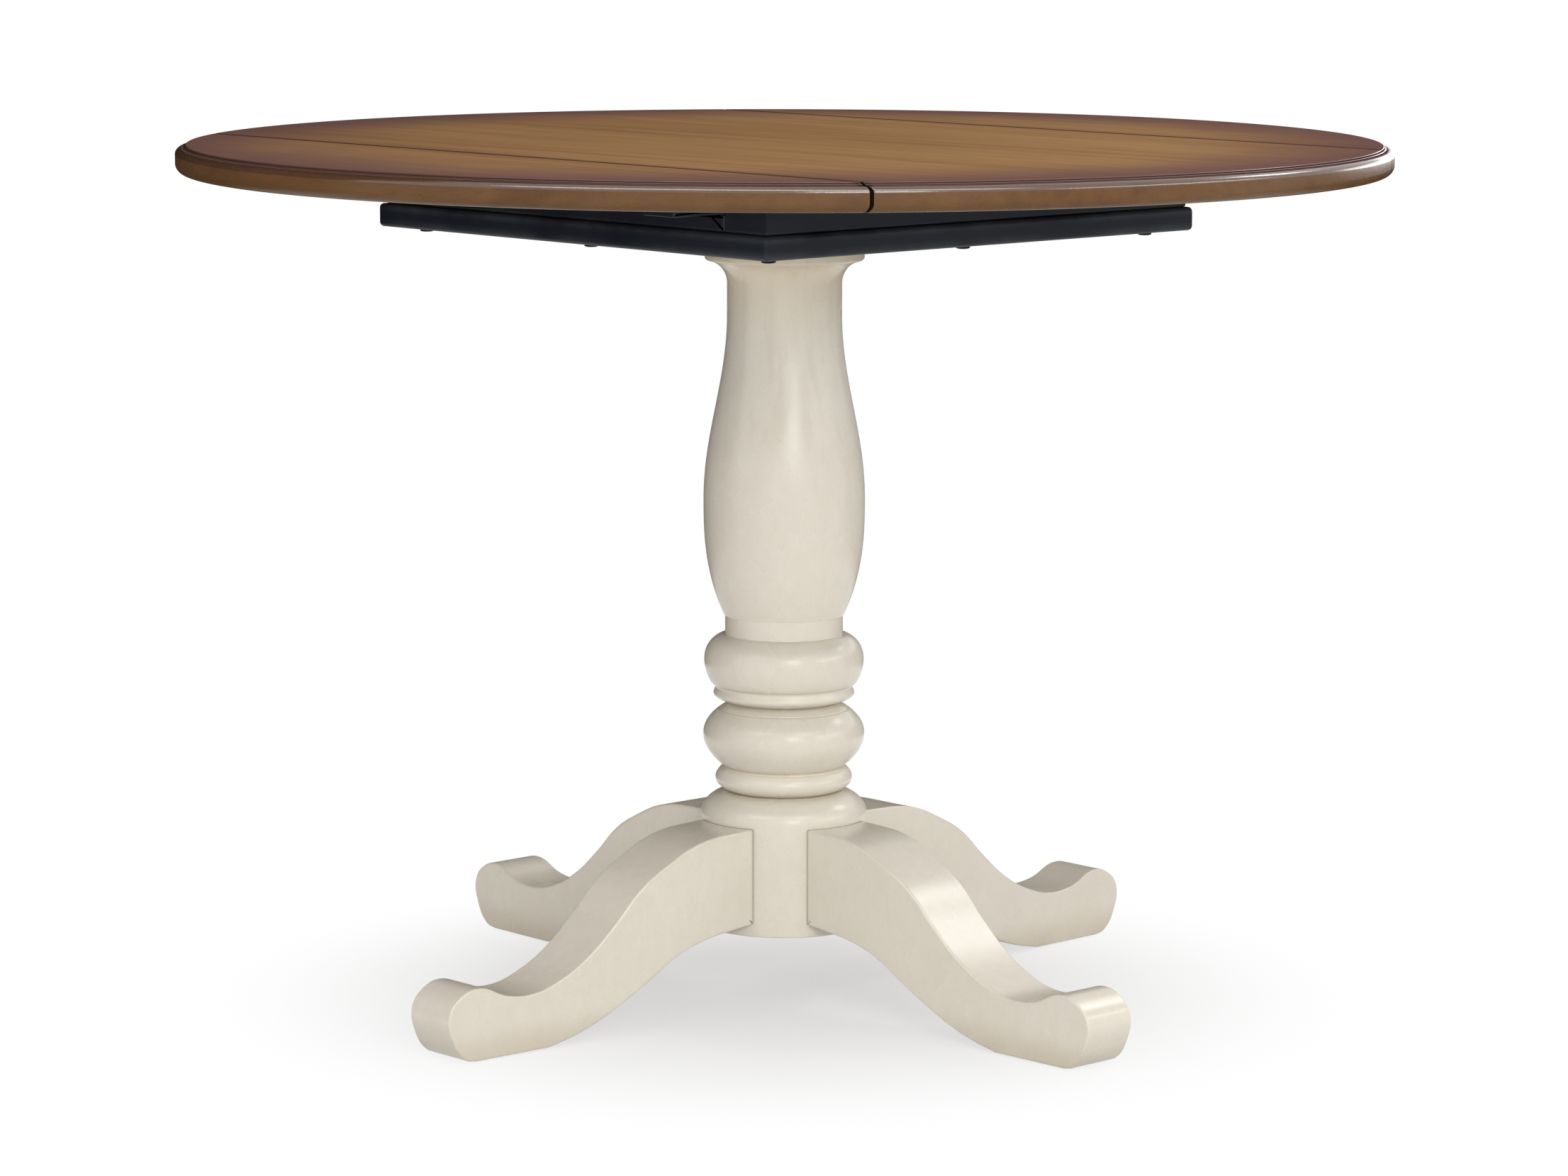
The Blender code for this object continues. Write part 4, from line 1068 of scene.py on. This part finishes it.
def make_floor():
    """A pale floor that keeps the object's shadow and fades to white away from it."""
    mesh = bpy.data.meshes.new("floor")
    far = FLOOR_REACH
    mesh.from_pydata([(x, y, 0) for x, y in rectangle(-far, -far, far, far)], [], [(0, 1, 2, 3)])
    floor = bpy.data.objects.new("floor", mesh)
    bpy.context.scene.collection.objects.link(floor)
    material = bpy.data.materials.new("floor_white")
    material.use_nodes = True
    tree = material.node_tree
    tree.nodes.clear()
    matt = tree.nodes.new("ShaderNodeBsdfDiffuse")
    matt.inputs["Color"].default_value = (FLOOR_GREY, FLOOR_GREY, FLOOR_GREY, 1.0)
    white = tree.nodes.new("ShaderNodeEmission")
    place = tree.nodes.new("ShaderNodeTexCoord")
    reach = tree.nodes.new("ShaderNodeVectorMath")
    reach.operation = "LENGTH"
    tree.links.new(place.outputs["Object"], reach.inputs[0])
    fade = tree.nodes.new("ShaderNodeMapRange")
    fade.interpolation_type = "SMOOTHSTEP"
    fade.inputs["From Min"].default_value = FLOOR_FADE[0]
    fade.inputs["From Max"].default_value = FLOOR_FADE[1]
    fade.inputs["To Min"].default_value = FLOOR_WHITE_UNDER_TABLE
    tree.links.new(reach.outputs["Value"], fade.inputs["Value"])
    seen = seen_directly(tree)
    share = tree.nodes.new("ShaderNodeMath")
    share.operation = "MULTIPLY"
    tree.links.new(seen, share.inputs[0])
    tree.links.new(fade.outputs["Result"], share.inputs[1])
    both = tree.nodes.new("ShaderNodeMixShader")
    tree.links.new(share.outputs[0], both.inputs[0])
    tree.links.new(matt.outputs[0], both.inputs[1])
    tree.links.new(white.outputs[0], both.inputs[2])
    out = tree.nodes.new("ShaderNodeOutputMaterial")
    tree.links.new(both.outputs[0], out.inputs["Surface"])
    mesh.materials.append(material)


def seen_directly(tree):
    """1 for rays from the camera, from a mirror or through glass, else 0."""
    path = tree.nodes.new("ShaderNodeLightPath")
    total = path.outputs["Is Camera Ray"]
    for label in ("Is Glossy Ray", "Is Transmission Ray"):
        adder = tree.nodes.new("ShaderNodeMath")
        adder.operation = "MAXIMUM"
        tree.links.new(total, adder.inputs[0])
        tree.links.new(path.outputs[label], adder.inputs[1])
        total = adder.outputs[0]
    return total


def make_world(strength, shade):
    """White where it is seen, and an even, slightly warm light on matt surfaces."""
    world = bpy.data.worlds.new("studio")
    world.use_nodes = True
    bpy.context.scene.world = world
    tree = world.node_tree
    sky = tree.nodes["Background"]
    tint = tree.nodes.new("ShaderNodeMix")
    tint.data_type = "RGBA"
    tint.inputs[6].default_value = (*shade, 1.0)
    tint.inputs[7].default_value = (1.0, 1.0, 1.0, 1.0)
    tree.links.new(tint.outputs[2], sky.inputs["Color"])
    level = tree.nodes.new("ShaderNodeMapRange")
    level.inputs["To Min"].default_value = strength
    level.inputs["To Max"].default_value = 1.0
    seen = seen_directly(tree)
    tree.links.new(seen, tint.inputs[0])
    tree.links.new(seen, level.inputs["Value"])
    tree.links.new(level.outputs["Result"], sky.inputs["Strength"])


def make_lamp(name, azimuth, elevation, distance, size, power, mirrored=True, matt=True):
    """A soft box at degrees right of the camera and up; gloss, matt faces or both see it."""
    data = bpy.data.lights.new(name, "AREA")
    data.shape = "RECTANGLE"
    data.size, data.size_y = size
    data.energy = power
    lamp = bpy.data.objects.new(name, data)
    bpy.context.scene.collection.objects.link(lamp)
    a = CAMERA_AZIMUTH + math.radians(azimuth)
    e = math.radians(elevation)
    back = Vector((math.sin(a) * math.cos(e), -math.cos(a) * math.cos(e), math.sin(e)))
    lamp.location = LAMP_TARGET + back * distance
    lamp.rotation_euler = back.to_track_quat("Z", "Y").to_euler()
    lamp.visible_camera = False
    lamp.visible_glossy = mirrored
    lamp.visible_diffuse = matt


def make_card(name, azimuth, distance, width, height):
    """A black card behind the table, seen by reflections alone, so that edges stay clear of the white."""
    mesh = bpy.data.meshes.new(name)
    half = width / 2
    mesh.from_pydata([(x, 0, z) for x, z in rectangle(-half, 0, half, height)], [], [(0, 1, 2, 3)])
    material = bpy.data.materials.new(name)
    material.use_nodes = True
    sockets = material.node_tree.nodes["Principled BSDF"].inputs
    sockets["Base Color"].default_value = (CARD_BLACK, CARD_BLACK, CARD_BLACK, 1.0)
    sockets["Roughness"].default_value = 1.0
    sockets["Specular IOR Level"].default_value = 0.0
    mesh.materials.append(material)
    card = bpy.data.objects.new(name, mesh)
    bpy.context.scene.collection.objects.link(card)
    angle = CAMERA_AZIMUTH + math.radians(azimuth)
    card.matrix_world = Matrix.Rotation(angle, 4, "Z") @ Matrix.Translation((0, -distance, 0))
    card.visible_camera = False
    card.visible_diffuse = False
    card.visible_shadow = False


def make_camera():
    """The photograph's camera."""
    data = bpy.data.cameras.new("camera")
    data.lens = CAMERA_LENS
    data.sensor_width = CAMERA_SENSOR
    data.clip_end = CAMERA_CLIP_END
    camera = bpy.data.objects.new("camera", data)
    bpy.context.scene.collection.objects.link(camera)
    turn = Matrix.Rotation(CAMERA_AZIMUTH, 4, "Z") @ Matrix.Rotation(math.pi / 2 - CAMERA_PITCH, 4, "X")
    turn = turn @ Matrix.Rotation(CAMERA_ROLL, 4, "Z")
    camera.matrix_world = Matrix.Translation(CAMERA_PLACE) @ turn
    bpy.context.scene.camera = camera


bpy.context.scene.view_settings.view_transform = "Standard"
make_camera()
make_floor()
make_world(0.50, (1.0, 0.965, 0.905))
# Name, degrees right of the camera, degrees up, distance, width and height, watts
make_lamp("front_lamp", 14, 20, 3.4, (1.1, 1.1), 24.0)
make_lamp("low_fill", 4, 4, 3.6, (5.0, 1.2), 42.0, mirrored=False)
make_lamp("left_fill", -65, 8, 3.2, (2.0, 0.8), 11.0, mirrored=False)
make_lamp("top_fill", -10, 52, 3.0, (4.5, 0.2), 17.0, mirrored=False)
make_lamp("top_gloss", -5, 50, 3.0, (4.5, 0.8), 50.0, matt=False)
make_lamp("back_lamp", 120, 40, 3.2, (0.9, 0.6), 12.0)
make_lamp("edge_lamp", 140, 6, 3.2, (2.4, 1.2), 28.0)
make_lamp("right_strip", 70, 18, 3.2, (2.6, 0.35), 15.0)
# Name, degrees right of the camera, distance, width, height
make_card("left_card", -135, 1.35, 4.2, 3.0)
make_card("low_card", 140, 1.35, 2.6, 0.7)
dress_top()
dress_base()
dress_frame()
dress_supports()
dress_hinges()
dress_bolts()
dress_glides()
keep_nodes()
